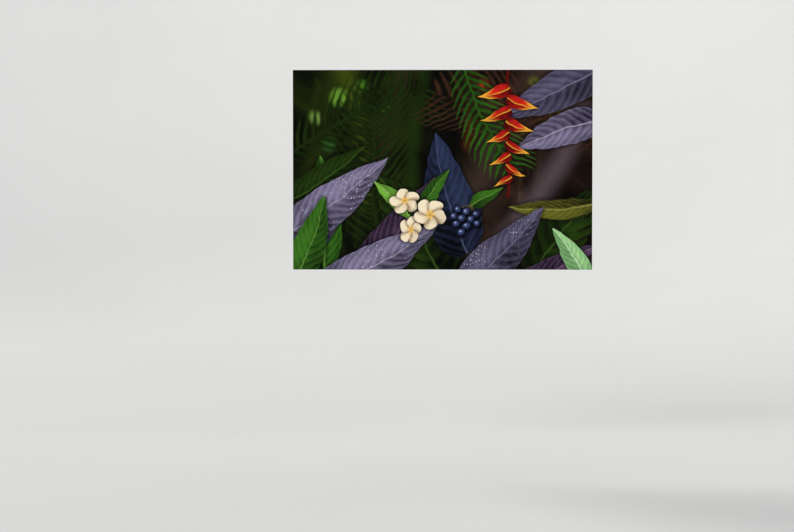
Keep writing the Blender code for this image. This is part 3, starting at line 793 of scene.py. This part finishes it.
def make_timber_material(name, kind, upright, shift, wood, grime):
    """Timber with its grain level or upright. shift picks another stretch of the tree for each bar."""
    ring, knot_size, pale, dark, knot_tint = kind
    material, g, shader = new_material(name, Specular_IOR_Level=0.35)
    place = g.coordinates()
    turned = g.mapping(place, location=shift, rotation=(0.0, math.pi / 2 if upright else 0.0, 0.0))
    grain = g.use(wood, Place=turned, Ring=ring, Knot_size=knot_size)
    marks = g.use(grime, Place=place, Size=0.12)
    tint = g.mix(g.remap(grain["Fibre"], 0.36, 0.62, 0.40, 0.0), pale, dark)
    for mask, strength in ((grain["Late wood"], 0.85), (marks["Cloud"], 0.18), (marks["Scratch"], 0.10)):
        tint = g.mix(mask * strength, tint, dark)
    tint = g.mix(grain["Knot"], tint, knot_tint)
    roughness = g.remap(grain["Late wood"], 0.0, 1.0, 0.72, 0.50)
    g.feed_all(shader, Base_Color=tint, Roughness=roughness, Normal=g.bump(grain["Height"], 0.00025, 0.7))
    return material


def make_clouded_material(name, first, second, scale, **fixed):
    """A plain material whose colour wanders between two."""
    material, g, shader = new_material(name, **fixed)
    cloud = g.noise(g.coordinates(), scale, 2, dimensions="3D")
    g.feed(shader["Base Color"], g.mix(cloud, first, second))
    return material


def make_zinc_material(grime):
    """Bright zinc plate, clouded and finely scratched."""
    material, g, shader = new_material("zinc plated steel", Metallic=1.0)
    marks = g.use(grime, Place=g.coordinates(), Size=0.009)
    tint = g.mix(marks["Cloud"], (0.66, 0.67, 0.68), (0.46, 0.47, 0.50))
    tint = g.mix(marks["Scratch"] * 0.6, tint, (0.80, 0.80, 0.80))
    roughness = g.remap(marks["Fine"], 0.30, 0.70, 0.26, 0.46)
    g.feed_all(shader, Base_Color=tint, Roughness=roughness, Normal=g.bump(marks["Fine"], 0.00003, 0.5))
    return material


def make_rubber_material(grime):
    """Moulded black rubber with pale dust in its pores."""
    material, g, shader = new_material("black rubber", Specular_IOR_Level=0.3)
    marks = g.use(grime, Place=g.coordinates(), Size=0.006)
    tint = g.mix(marks["Cloud"], (0.012, 0.012, 0.012), (0.045, 0.043, 0.040))
    roughness = g.remap(marks["Fine"], 0.30, 0.70, 0.70, 0.92)
    g.feed_all(shader, Base_Color=tint, Roughness=roughness, Normal=g.bump(marks["Fine"], 0.00006, 0.6))
    return material


# ---------------- modelling helpers
TO_BACK = Matrix.Rotation(-math.pi / 2, 4, "X")  # turns what is modelled towards +Z to the back


def add_object(name, data):
    obj = bpy.data.objects.new(name, data)
    bpy.context.scene.collection.objects.link(obj)
    return obj


def deselect_all():
    if bpy.context.object and bpy.context.object.mode != "OBJECT":
        bpy.ops.object.mode_set(mode="OBJECT")
    for obj in list(bpy.context.selected_objects):
        obj.select_set(False)


def select_only(*objects):
    """Selects some objects, of which the first becomes the active one."""
    deselect_all()
    for obj in objects:
        obj.select_set(True)
    bpy.context.view_layer.objects.active = objects[0]


def start_piece(primitive, **size_and_place):
    """Adds a primitive and puts its size and place in its mesh."""
    deselect_all()
    primitive(**size_and_place)
    bpy.ops.object.transform_apply(location=True, rotation=True, scale=True)
    return bpy.context.object


def edit(obj):
    """Opens one object for modelling, with all of it selected."""
    select_only(obj)
    bpy.ops.object.mode_set(mode="EDIT")
    bpy.ops.mesh.select_all(action="SELECT")


def close_edit():
    bpy.ops.object.mode_set(mode="OBJECT")


def pick(kind, test):
    """Selects, in the object being edited, the faces or edges that pass a test."""
    bpy.ops.mesh.select_all(action="DESELECT")
    bpy.ops.mesh.select_mode(type=kind)
    obj = bpy.context.object
    mesh = bmesh.from_edit_mesh(obj.data)
    for item in mesh.faces if kind == "FACE" else mesh.edges:
        item.select_set(test(item))
    bmesh.update_edit_mesh(obj.data)


def pick_end(way):
    """Selects the faces that look up the Z axis, or down it where way is -1."""
    pick("FACE", lambda face: face.normal.z * way > 0.9)


def spans(edge, axis, length):
    """True for an edge that runs along one axis, 0 for X to 2 for Z, for at least a length."""
    run = edge.verts[1].co - edge.verts[0].co
    return abs(run[axis]) >= length and abs(run[axis]) > 0.9 * run.length


def resize_selected(share):
    """Resizes what is selected across the Z axis."""
    bpy.ops.transform.resize(value=(share, share, 1), center_override=(0, 0, 0))


def smooth(degrees):
    """Shades the selected object smooth, but for edges sharper than an angle."""
    bpy.ops.object.shade_smooth_by_angle(angle=math.radians(degrees))


def apply_modifiers(obj):
    select_only(obj)
    for modifier in list(obj.modifiers):
        bpy.ops.object.modifier_apply(modifier=modifier.name)


def thicken(obj, rim_material):
    """Gives an open sheet the cloth's thickness, with the raw material on its inner side."""
    skin = obj.modifiers.new("thickness", "SOLIDIFY")
    skin.thickness = CLOTH
    skin.offset = -1
    skin.material_offset = 1
    skin.material_offset_rim = rim_material
    apply_modifiers(obj)


def finish_piece(obj, name, materials, replaced=()):
    """Names a piece, dresses it and ties it to the frame."""
    obj.name = name
    obj.data.name = name
    for material in materials:
        obj.data.materials.append(material)
    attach(obj, "root")
    if replaced:
        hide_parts(*replaced)
    return obj


def place_copy(pattern, matrix):
    """A copy of an object with its own mesh, moved in the mesh itself."""
    copy = add_object(pattern.name, pattern.data.copy())
    copy.data.transform(matrix)
    return copy


def place_at_nodes(pattern, nodes, prefix, material, stand):
    """Puts a copy of a pattern in place of each node, moved as stand says, then removes the pattern."""
    for node in nodes:
        finish_piece(place_copy(pattern, stand(node)), f"{prefix}_{node}", (material,), (node,))
    bpy.data.objects.remove(pattern)


def seat(node, y):
    """Moves a piece to the middle of a node's box, at a depth of its own."""
    low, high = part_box(node)
    return Matrix.Translation(((low.x + high.x) / 2, y, (low.z + high.z) / 2))


def join_copies(objects):
    """Joins objects that each have their own mesh into the first of them."""
    select_only(*objects)
    bpy.ops.object.join()
    bpy.ops.object.transform_apply(location=True, rotation=True, scale=True)
    return bpy.context.object


def new_wire(name, radius, roundness):
    """A path whose tube has a radius."""
    path = bpy.data.curves.new(name, "CURVE")
    path.dimensions = "3D"
    path.bevel_depth = radius
    path.bevel_resolution = roundness
    return path


def mesh_from_wire(path):
    """Makes a path's tube a smooth, closed mesh."""
    select_only(add_object(path.name, path))
    bpy.ops.object.convert(target="MESH")
    edit(bpy.context.object)
    bpy.ops.mesh.remove_doubles(threshold=0.000001)
    close_edit()
    bpy.ops.object.shade_smooth()
    return bpy.context.object


# ---------------- camera, light and stage
def aim(obj, target):
    direction = Vector(target) - obj.location
    obj.rotation_mode = "QUATERNION"
    obj.rotation_quaternion = direction.to_track_quat("-Z", "Y")


def make_camera():
    data = bpy.data.cameras.new("camera")
    data.sensor_width = SENSOR
    data.lens = LENS
    data.clip_start = 0.1
    data.clip_end = 100
    camera = add_object("camera", data)
    camera.location = EYE
    aim(camera, SIGHT)
    bpy.context.scene.camera = camera


def make_lights():
    """Four broad, even lights that shine towards the picture, and a pale sky."""
    for name, (direction, strength, softness, colour) in LIGHTS.items():
        data = bpy.data.lights.new(name, "SUN")
        data.energy = strength
        data.angle = math.radians(softness)
        data.color = colour
        light = add_object(name, data)
        light.location = Vector(direction) * 5
        aim(light, (0, 0, 0))
    world = bpy.data.worlds.new("studio")
    world.use_nodes = True
    sky = world.node_tree.nodes["Background"].inputs
    sky["Color"].default_value = (0.94, 0.95, 0.96, 1)
    sky["Strength"].default_value = 0.46
    bpy.context.scene.world = world
    bpy.context.scene.view_settings.view_transform = "Standard"


def make_stage():
    """A pale round studio floor that curves up into its own wall."""
    middle = (0, 0, FLOOR + STAGE_WALL / 2)
    cylinder = bpy.ops.mesh.primitive_cylinder_add
    stage = start_piece(cylinder, vertices=128, radius=STAGE_RADIUS, depth=STAGE_WALL, location=middle)
    stage.name = "studio_floor"
    edit(stage)
    pick_end(1)
    bpy.ops.mesh.delete(type="FACE")
    pick("EDGE", lambda edge: all(abs(vert.co.z - FLOOR) < NEAR for vert in edge.verts))
    bpy.ops.mesh.bevel(offset=STAGE_SWEEP, segments=16, profile=0.5, affect="EDGES")
    bpy.ops.mesh.select_all(action="SELECT")
    bpy.ops.mesh.flip_normals()
    close_edit()
    bpy.ops.object.shade_smooth()
    pale, paler = (0.70, 0.70, 0.695), (0.74, 0.74, 0.735)
    matt = {"Roughness": 0.85, "Specular_IOR_Level": 0.2}
    stage.data.materials.append(make_clouded_material("pale studio paint", pale, paler, 0.6, **matt))
    stage.visible_shadow = False


# ---------------- the cloth
def stray(draw, reach):
    """A random number from minus a reach to plus that reach."""
    return draw.uniform(-reach, reach)


def staple_places():
    """Each staple's middle on the back, and its turn: along the four hems, a hand's breadth apart."""
    draw = random.Random(11)
    stray_along, stray_across, stray_turn = STAPLE_STRAY
    places = []
    for length, reach, level in HEM_PAIRS:
        run = length - 2 * STAPLE_START
        count = round(run / STAPLE_PITCH)
        for side in (-1, 1):
            for number in range(count + 1):
                along = -run / 2 + run * number / count + stray(draw, stray_along)
                across = side * (reach - STAPLE_INSET + stray(draw, stray_across))
                turn = math.radians(stray(draw, stray_turn) + (0 if level else 90))
                places.append((along, across, turn) if level else (across, along, turn))
    return places


def on_sheet(point, zone):
    """Where a point of the folded cloth lies on the flat sheet. zone says which way its part is folded."""
    x, fold, z = point.x, point.y - FACE, point.z
    if zone == "face":
        return x, z
    if zone == "wrapped side":
        return math.copysign(WIDTH / 2 + fold, x), math.copysign(HEIGHT / 2 + WIDTH / 2 - abs(x), z)
    if zone.endswith("side"):
        reach_x, reach_z = WIDTH / 2 + fold, HEIGHT / 2 + fold
    else:
        reach_x, reach_z = WIDTH + DEPTH - abs(x), HEIGHT + DEPTH - abs(z)
    if zone.startswith("x"):
        return math.copysign(reach_x, x), z
    return x, math.copysign(reach_z, z)


def to_edges(point):
    """How far a point lies in from the picture's nearest side and from its nearest end."""
    return WIDTH / 2 - abs(point.x), HEIGHT / 2 - abs(point.z)


def zone_of(face):
    """The part of the cloth that a face belongs to: the picture, a side or a hem.
    The side cloth goes all the way round each corner's rounding, and the end's starts after it."""
    to_side, to_end = to_edges(face.center)
    if face.normal.y < -0.7:
        return "face"
    way = "x" if to_side < max(to_end, EDGE_RADIUS) else "z"
    if face.normal.y > 0.7:
        return f"{way} hem"
    return "wrapped side" if way == "x" and to_end < to_side else f"{way} side"


def lay_out(mesh, zone=None):
    """Writes the flat sheet's coordinates, in metres from its middle."""
    sheet = mesh.uv_layers.new(name="sheet")
    for face in mesh.polygons:
        part = zone or zone_of(face)
        for loop in face.loop_indices:
            sheet.data[loop].uv = on_sheet(mesh.vertices[mesh.loops[loop].vertex_index].co, part)


def fit_in_image(mesh):
    """Places the flat sheet in one image: the printed side large, the inner side in a strip above it."""
    sheet = mesh.uv_layers["sheet"]
    image = mesh.uv_layers.new(name="OFBake")
    for face in mesh.polygons:
        start, share = (INNER_START, 1 - INNER_START) if face.material_index == 1 else (0.0, PRINT_SHARE)
        for loop in face.loop_indices:
            x, z = sheet.data[loop].uv
            image.data[loop].uv = (x / FLAT_WIDTH + 0.5, start + share * (z / FLAT_HEIGHT + 0.5))


def ripple(x, z, waves, layer):
    """Smooth random relief from about -1 to 1, with so many waves in a metre."""
    return noise.noise(Vector((x * waves, z * waves, layer)))


def nearness(point, places, radius):
    """1 at the nearest of the places, falling to 0 at a radius from it."""
    best = min((point.x - x) ** 2 + (point.z - z) ** 2 for x, z in places)
    return max(0.0, 1 - best / radius**2)


def lift_of_hem(point, staples):
    """How far the hem stands off the bars: loose at its cut edge, held at each staple and bumper."""
    loose = min(1.0, min(to_edges(point)) / HEM)
    swell = max(0.0, 0.35 + 0.65 * ripple(point.x, point.z, 45.0, 1.0))
    held = max(nearness(point, staples, STAPLE_DENT), nearness(point, BUMPER_PLACES, BUMPER_DENT))
    return (1 - held) * HEM_FULLNESS * loose * swell - PRESSED * held


def slacken(obj, staples):
    """Gives the stretched cloth its slack between the bars, and on the back its puckers and wavy cut edge."""
    for vertex in obj.data.vertices:
        x, y, z = vertex.co
        to_side, to_end = to_edges(vertex.co)
        if y < FACE + NEAR:
            free_x = max(0.0, 1 - (x / (WIDTH / 2 - BAR_LIP)) ** 2)
            free_z = max(0.0, 1 - (z / (HEIGHT / 2 - BAR_LIP)) ** 2)
            vertex.co.y += (free_x * free_z) ** 0.7 * (SLACK + SLACK_WAVE * ripple(x, z, 3.0, 0.0))
        elif y > BACK - NEAR:
            vertex.co.y += lift_of_hem(vertex.co, staples)
            if min(to_side, to_end) > HEM * 0.9:
                vertex.co[0 if to_side < to_end else 2] += HEM_WAVE * ripple(x, z, 30.0, 4.0)


def is_mitre(edge):
    """True for the four slanting edges where the hems meet."""
    run = edge.verts[1].co - edge.verts[0].co
    slanted = abs(abs(run.x) - abs(run.z)) < 0.1 * abs(run.x)
    return slanted and abs(run.x) > HEM / 2 and min(vert.co.y for vert in edge.verts) > BACK - NEAR


def make_cloth(printed, raw, staples):
    """One sheet wrapped round the bars: the picture, four sides and a hem stapled to the back."""
    middle, size = (CLOTH_LOW + CLOTH_HIGH) / 2, (WIDTH, DEPTH, HEIGHT)
    cloth = start_piece(bpy.ops.mesh.primitive_cube_add, size=1, location=middle, scale=size)
    edit(cloth)
    bpy.ops.mesh.bevel(offset=EDGE_RADIUS, segments=4, profile=0.5, affect="EDGES")
    pick("FACE", lambda face: face.normal.y > 0.99 and face.calc_area() > 0.5)
    bpy.ops.mesh.inset(thickness=HEM - EDGE_RADIUS, use_even_offset=True)
    bpy.ops.mesh.delete(type="FACE")
    pick("EDGE", is_mitre)
    bpy.ops.mesh.subdivide(number_cuts=4)
    for axis, cuts in ((1, 3), (0, round(WIDTH / CLOTH_GRID)), (2, round(HEIGHT / CLOTH_GRID))):
        pick("EDGE", lambda edge: spans(edge, axis, size[axis] / 2))
        bpy.ops.mesh.subdivide(number_cuts=cuts)
    close_edit()
    lay_out(cloth.data)
    slacken(cloth, staples)
    finish_piece(cloth, "canvas_cloth", (printed, raw), ("canvas",))
    thicken(cloth, 1)
    fit_in_image(cloth.data)
    smooth(50)
    return cloth


def make_flap(corners, zone, outward, lift, materials):
    """A doubled corner of the cloth: a four-cornered outline, lifted and given the cloth's thickness."""
    flap = start_piece(bpy.ops.mesh.primitive_plane_add, size=2)
    mesh = flap.data
    around = sorted(mesh.vertices, key=lambda vertex: math.atan2(vertex.co.y, vertex.co.x))
    for vertex, corner in zip(around, corners):
        vertex.co = corner
    for material in materials:
        mesh.materials.append(material)
    edit(flap)
    bpy.ops.mesh.subdivide(number_cuts=FLAP_CUTS)
    close_edit()
    if mesh.polygons[0].normal.dot(outward) < 0:
        mesh.flip_normals()
    lay_out(mesh, zone)
    for vertex in mesh.vertices:
        vertex.co += outward * lift(vertex.co)
    thicken(flap, 0)
    edit(flap)
    bpy.ops.mesh.select_all(action="DESELECT")
    bpy.ops.mesh.select_mode(type="EDGE")
    bpy.ops.mesh.edges_select_sharp(sharpness=math.radians(60))
    bpy.ops.mesh.bevel(offset=CLOTH * 0.3, segments=2, affect="EDGES")
    close_edit()
    return flap


def eased(distance, full):
    """The lift of a flap that grows out of a fold, at a distance from the fold."""
    share = max(0.0, min(1.0, distance / FLAP_EASE))
    return (full + FLUSH) * share * (2 - share) - FLUSH


def make_side_wrap(side, end, materials):
    """The side cloth comes round the corner flush and is folded down over the end's own cloth."""
    start, level = WIDTH / 2 - EDGE_RADIUS / 2, end * HEIGHT / 2
    front, back = FACE + WRAP_START, BACK - EDGE_RADIUS

    def lift(point):
        return eased(start - abs(point.x), WRAP_LIFT)

    outline = [
        (side * start, front, level), (side * (start - WRAP_TIP), front, level),
        (side * (start - WRAP_REACH), back, level), (side * start, back, level),
    ]
    return make_flap(outline, "wrapped side", Vector((0, 0, end)), lift, materials)


def make_hem_flap(side, end, staples, materials):
    """The end's hem, mitred and laid over the side's, with the cloth folded away beneath it."""

    def lift(point):
        away = min(1.0, (WIDTH / 2 - abs(point.x)) / FLAP_REACH)
        held = max(nearness(point, BUMPER_PLACES, BUMPER_HOLD), nearness(point, staples, STAPLE_HOLD))
        full = CLOTH + FLAP_FULLNESS * (1 - away**2) * (1 - held)
        return lift_of_hem(point, staples) + eased(min(to_edges(point)) - EDGE_RADIUS, full)

    outer_x, outer_z = WIDTH / 2 - EDGE_RADIUS, end * (HEIGHT / 2 - EDGE_RADIUS)
    inner_x, inner_z = WIDTH / 2 - HEM - FLAP_OVERHANG, end * (HEIGHT / 2 - HEM - FLAP_OVERHANG)
    outline = [
        (side * outer_x, BACK, outer_z), (side * inner_x, BACK, inner_z),
        (side * (inner_x - FLAP_TURN_IN), BACK, inner_z), (side * (outer_x - FLAP_REACH), BACK, outer_z),
    ]
    return make_flap(outline, "z hem", Vector((0, 1, 0)), lift, materials)


def make_corner_folds(materials, staples):
    """Each corner's two folds, joined into one piece."""
    folds = []
    for side in (-1, 1):
        for end in (-1, 1):
            folds.append(make_side_wrap(side, end, materials))
            folds.append(make_hem_flap(side, end, staples, materials))
    folds = join_copies(folds)
    smooth(50)
    return finish_piece(folds, "corner_folds", ())


def make_loose_threads(material):
    """Short threads at the hem's cut edge: each is a thin curve, and all become one mesh."""
    draw = random.Random(5)
    path = new_wire("loose_threads", THREAD_RADIUS, 1)
    path.resolution_u = 4
    path.use_fill_caps = True
    for length, reach, level in HEM_PAIRS:
        for side in (-1, 1):
            for _ in range(round(length * THREADS_PER_METRE)):
                along = stray(draw, 1) * (length / 2 - 2 * HEM)
                size = draw.uniform(*THREAD_SIZES)
                sway, curl = stray(draw, THREAD_SWAY) * size, stray(draw, THREAD_CURL) * size
                spline = path.splines.new("BEZIER")
                spline.bezier_points.add(2)
                for point, share in zip(spline.bezier_points, (-0.25, 0.45, 1.0)):
                    out = max(0.0, share)  # a thread starts under the hem
                    across = side * (reach - HEM - share * size)
                    shift = along + sway * share + curl * out**2
                    height = BACK + NEAR + 0.25 * THREAD_RADIUS - THREAD_DIP * out
                    point.co = (shift, height, across) if level else (across, height, shift)
                    point.handle_left_type = point.handle_right_type = "AUTO"
    return finish_piece(mesh_from_wire(path), "loose_threads", (material,))


# ---------------- the timber
# Each wood's ring width, knot radius, and its pale, dark and knot colours.
PINE = (0.0044, 0.0065, srgb(226, 203, 166), srgb(188, 148, 104), srgb(96, 54, 30))
BEECH = (0.0016, 0.0001, srgb(214, 180, 146), srgb(182, 140, 106), srgb(182, 140, 106))


def dress_node(node, material, edge):
    """A new material for a node of the frame, and eased edges."""
    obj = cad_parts[node]
    for slot in obj.material_slots:
        slot.material = material
    weld = obj.modifiers.new("weld", "WELD")
    weld.merge_threshold = 0.00001
    bevel = obj.modifiers.new("eased edges", "BEVEL")
    bevel.width = edge
    bevel.segments = 2
    bevel.limit_method = "ANGLE"
    bevel.angle_limit = math.radians(35)


def dress_timber(wood, grime):
    """Eases the timbers' edges and gives each its own stretch of wood."""
    for number, node in enumerate(TIMBERS):
        upright = node.endswith(("left", "right", "vertical"))
        shift = (1.71 * number, 0.013 * number, 0.37 * number)
        pine = make_timber_material(f"pine {node}", PINE, upright, shift, wood, grime)
        dress_node(node, pine, TIMBER_EDGE)
    beech = make_timber_material("beech", BEECH, False, (0.3, 0.2, 0.1), wood, grime)
    for node in KEYS:
        dress_node(node, beech, KEY_EDGE)


# ---------------- the hardware
def make_staples(zinc):
    """Wire staples: one is modelled, then copied to each place and joined."""
    size = (STAPLE_WIDTH, STAPLE_WIRE, STAPLE_WIRE * 0.75)
    pattern = start_piece(bpy.ops.mesh.primitive_cube_add, size=1, scale=size)
    edit(pattern)
    pick("EDGE", lambda edge: spans(edge, 0, STAPLE_WIDTH / 2))
    bpy.ops.mesh.subdivide(number_cuts=8)
    close_edit()
    for vertex in pattern.data.vertices:
        past = abs(vertex.co.x) / (STAPLE_WIDTH / 2) - STAPLE_SHOULDER
        vertex.co.z -= STAPLE_DROP * (max(0.0, past) / (1 - STAPLE_SHOULDER)) ** 2
    edit(pattern)
    bpy.ops.mesh.bevel(offset=STAPLE_WIRE * 0.2, segments=1, affect="EDGES")
    close_edit()
    pattern.data.transform(TO_BACK)
    copies = []
    for x, z, turn in staple_places():
        on_flap = WIDTH / 2 - abs(x) < FLAP_REACH - STAPLE_WIDTH / 2 and HEIGHT / 2 - abs(z) < HEM
        height = BACK + STAPLE_WIRE * 0.30 + (CLOTH if on_flap else 0.0)
        lie = Matrix.Translation((x, height, z)) @ Matrix.Rotation(-turn, 4, "Y")
        copies.append(place_copy(pattern, lie))
    bpy.data.objects.remove(pattern)
    staples = join_copies(copies)
    smooth(40)
    return finish_piece(staples, "staples", (zinc,))


def arc(turns, radius, middle_x, middle_z):
    """Points on a circle at each of some turns, in degrees."""
    angles = [math.radians(turn) for turn in turns]
    return [(middle_x + radius * math.cos(angle), middle_z + radius * math.sin(angle)) for angle in angles]


def make_rings(zinc):
    """D-rings of round wire: the wire's path is drawn as a curve, made into a mesh and copied."""
    low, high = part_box(RINGS[0])
    wire = (high.y - low.y) / 2
    reach = (high.x - low.x) / 2 - wire
    straight = high.z - low.z - 2 * wire - reach
    corner = reach - RING_FILLET
    points = arc(range(-90, 1, 15), RING_FILLET, corner, RING_FILLET)
    points += arc(range(0, 181, 6), reach, 0.0, straight)
    points += arc(range(180, 271, 15), RING_FILLET, -corner, RING_FILLET)
    path = new_wire("ring", wire, 6)
    spline = path.splines.new("POLY")
    spline.points.add(len(points) - 1)
    for point, (x, z) in zip(spline.points, points):
        point.co = (x, 0, z, 1)
    spline.use_cyclic_u = True

    def stand(node):
        low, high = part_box(node)
        return Matrix.Translation(((low.x + high.x) / 2, (low.y + high.y) / 2, low.z + wire))

    place_at_nodes(mesh_from_wire(path), RINGS, "wire", zinc, stand)


def make_screws(zinc):
    """Pan-head screws with a cross recess: one is modelled, head towards +Z, then copied."""
    low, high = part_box(SCREWS[0])
    radius = (high.x - low.x) / 2
    cylinder, cube = bpy.ops.mesh.primitive_cylinder_add, bpy.ops.mesh.primitive_cube_add
    middle = (0, 0, SCREW_HEAD / 2)
    screw = start_piece(cylinder, vertices=48, radius=radius, depth=SCREW_HEAD, location=middle)
    edit(screw)
    pick("EDGE", lambda edge: min(vert.co.z for vert in edge.verts) > SCREW_HEAD * 0.9)
    bpy.ops.mesh.bevel(offset=SCREW_HEAD * HEAD_ROUNDING, segments=6, profile=0.5, affect="EDGES")
    pick_end(-1)
    bpy.ops.mesh.inset(thickness=radius - SCREW_SHANK)
    bpy.ops.mesh.extrude_region_move(TRANSFORM_OT_translate={"value": (0, 0, -SCREW_LENGTH)})
    resize_selected(SCREW_POINT)
    close_edit()
    span, width, depth = RECESS
    arm = (radius * span, radius * width, SCREW_HEAD * depth)
    for turn in (0, math.pi / 2):
        cutter = start_piece(cube, size=1, location=(0, 0, SCREW_HEAD), rotation=(0, 0, turn), scale=arm)
        edit(cutter)
        pick_end(-1)
        resize_selected(RECESS_TAPER)
        close_edit()
        recess = screw.modifiers.new("recess", "BOOLEAN")
        recess.operation = "DIFFERENCE"
        recess.object = cutter
        apply_modifiers(screw)
        bpy.data.objects.remove(cutter)
    smooth(35)

    def stand(node):
        turn = SCREW_TURNS[0] + SCREW_TURNS[1] * SCREWS.index(node)
        return seat(node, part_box(node)[1].y - SCREW_HEAD) @ (TO_BACK @ Matrix.Rotation(turn, 4, "Z"))

    place_at_nodes(screw, SCREWS, "pan_head", zinc, stand)


def make_bumpers(rubber):
    """Moulded bumpers with rounded rims and a dimple: one is modelled at the origin, then copied."""
    low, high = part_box(BUMPERS[0])
    radius, height = (high.x - low.x) / 2, high.y - low.y
    cylinder = bpy.ops.mesh.primitive_cylinder_add
    bumper = start_piece(cylinder, vertices=64, radius=radius, depth=height, location=(0, 0, height / 2))
    edit(bumper)
    pick_end(1)
    resize_selected(BUMPER_TIP)
    rim, slope, depth = DIMPLE
    bpy.ops.mesh.inset(thickness=radius * rim)
    bpy.ops.mesh.inset(thickness=radius * slope)
    bpy.ops.transform.translate(value=(0, 0, -height * depth))
    top, outer = height * 0.99, radius * BUMPER_TIP * 0.95
    pick("EDGE", lambda edge: all(vert.co.z > top and vert.co.xy.length > outer for vert in edge.verts))
    bpy.ops.mesh.bevel(offset=height * BUMPER_ROUNDING, segments=6, profile=0.5, affect="EDGES")
    close_edit()
    smooth(35)

    def stand(node):
        return seat(node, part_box(node)[0].y) @ TO_BACK

    place_at_nodes(bumper, BUMPERS, "moulded", rubber, stand)


# ---------------- assembly
make_camera()
make_lights()
make_stage()
weave = make_weave_group()
printed_canvas = make_print_material(weave)
raw_canvas = make_raw_canvas_material(weave)
staple_middles = [(x, z) for x, z, _ in staple_places()]
cloth = make_cloth(printed_canvas, raw_canvas, staple_middles)
folds = make_corner_folds((printed_canvas, raw_canvas), staple_middles)
handling_marks = make_grime_group()
dress_timber(make_wood_group(), handling_marks)
zinc_plate = make_zinc_material(handling_marks)
rubber = make_rubber_material(handling_marks)
staples = make_staples(zinc_plate)
cotton_tones = (srgb(206, 198, 180), srgb(238, 233, 220))
threads = make_loose_threads(make_clouded_material("cotton thread", *cotton_tones, 900.0, Roughness=0.95))
make_rings(zinc_plate)
make_screws(zinc_plate)
for node in STRAPS:
    dress_node(node, zinc_plate, STRAP_EDGE)
make_bumpers(rubber)
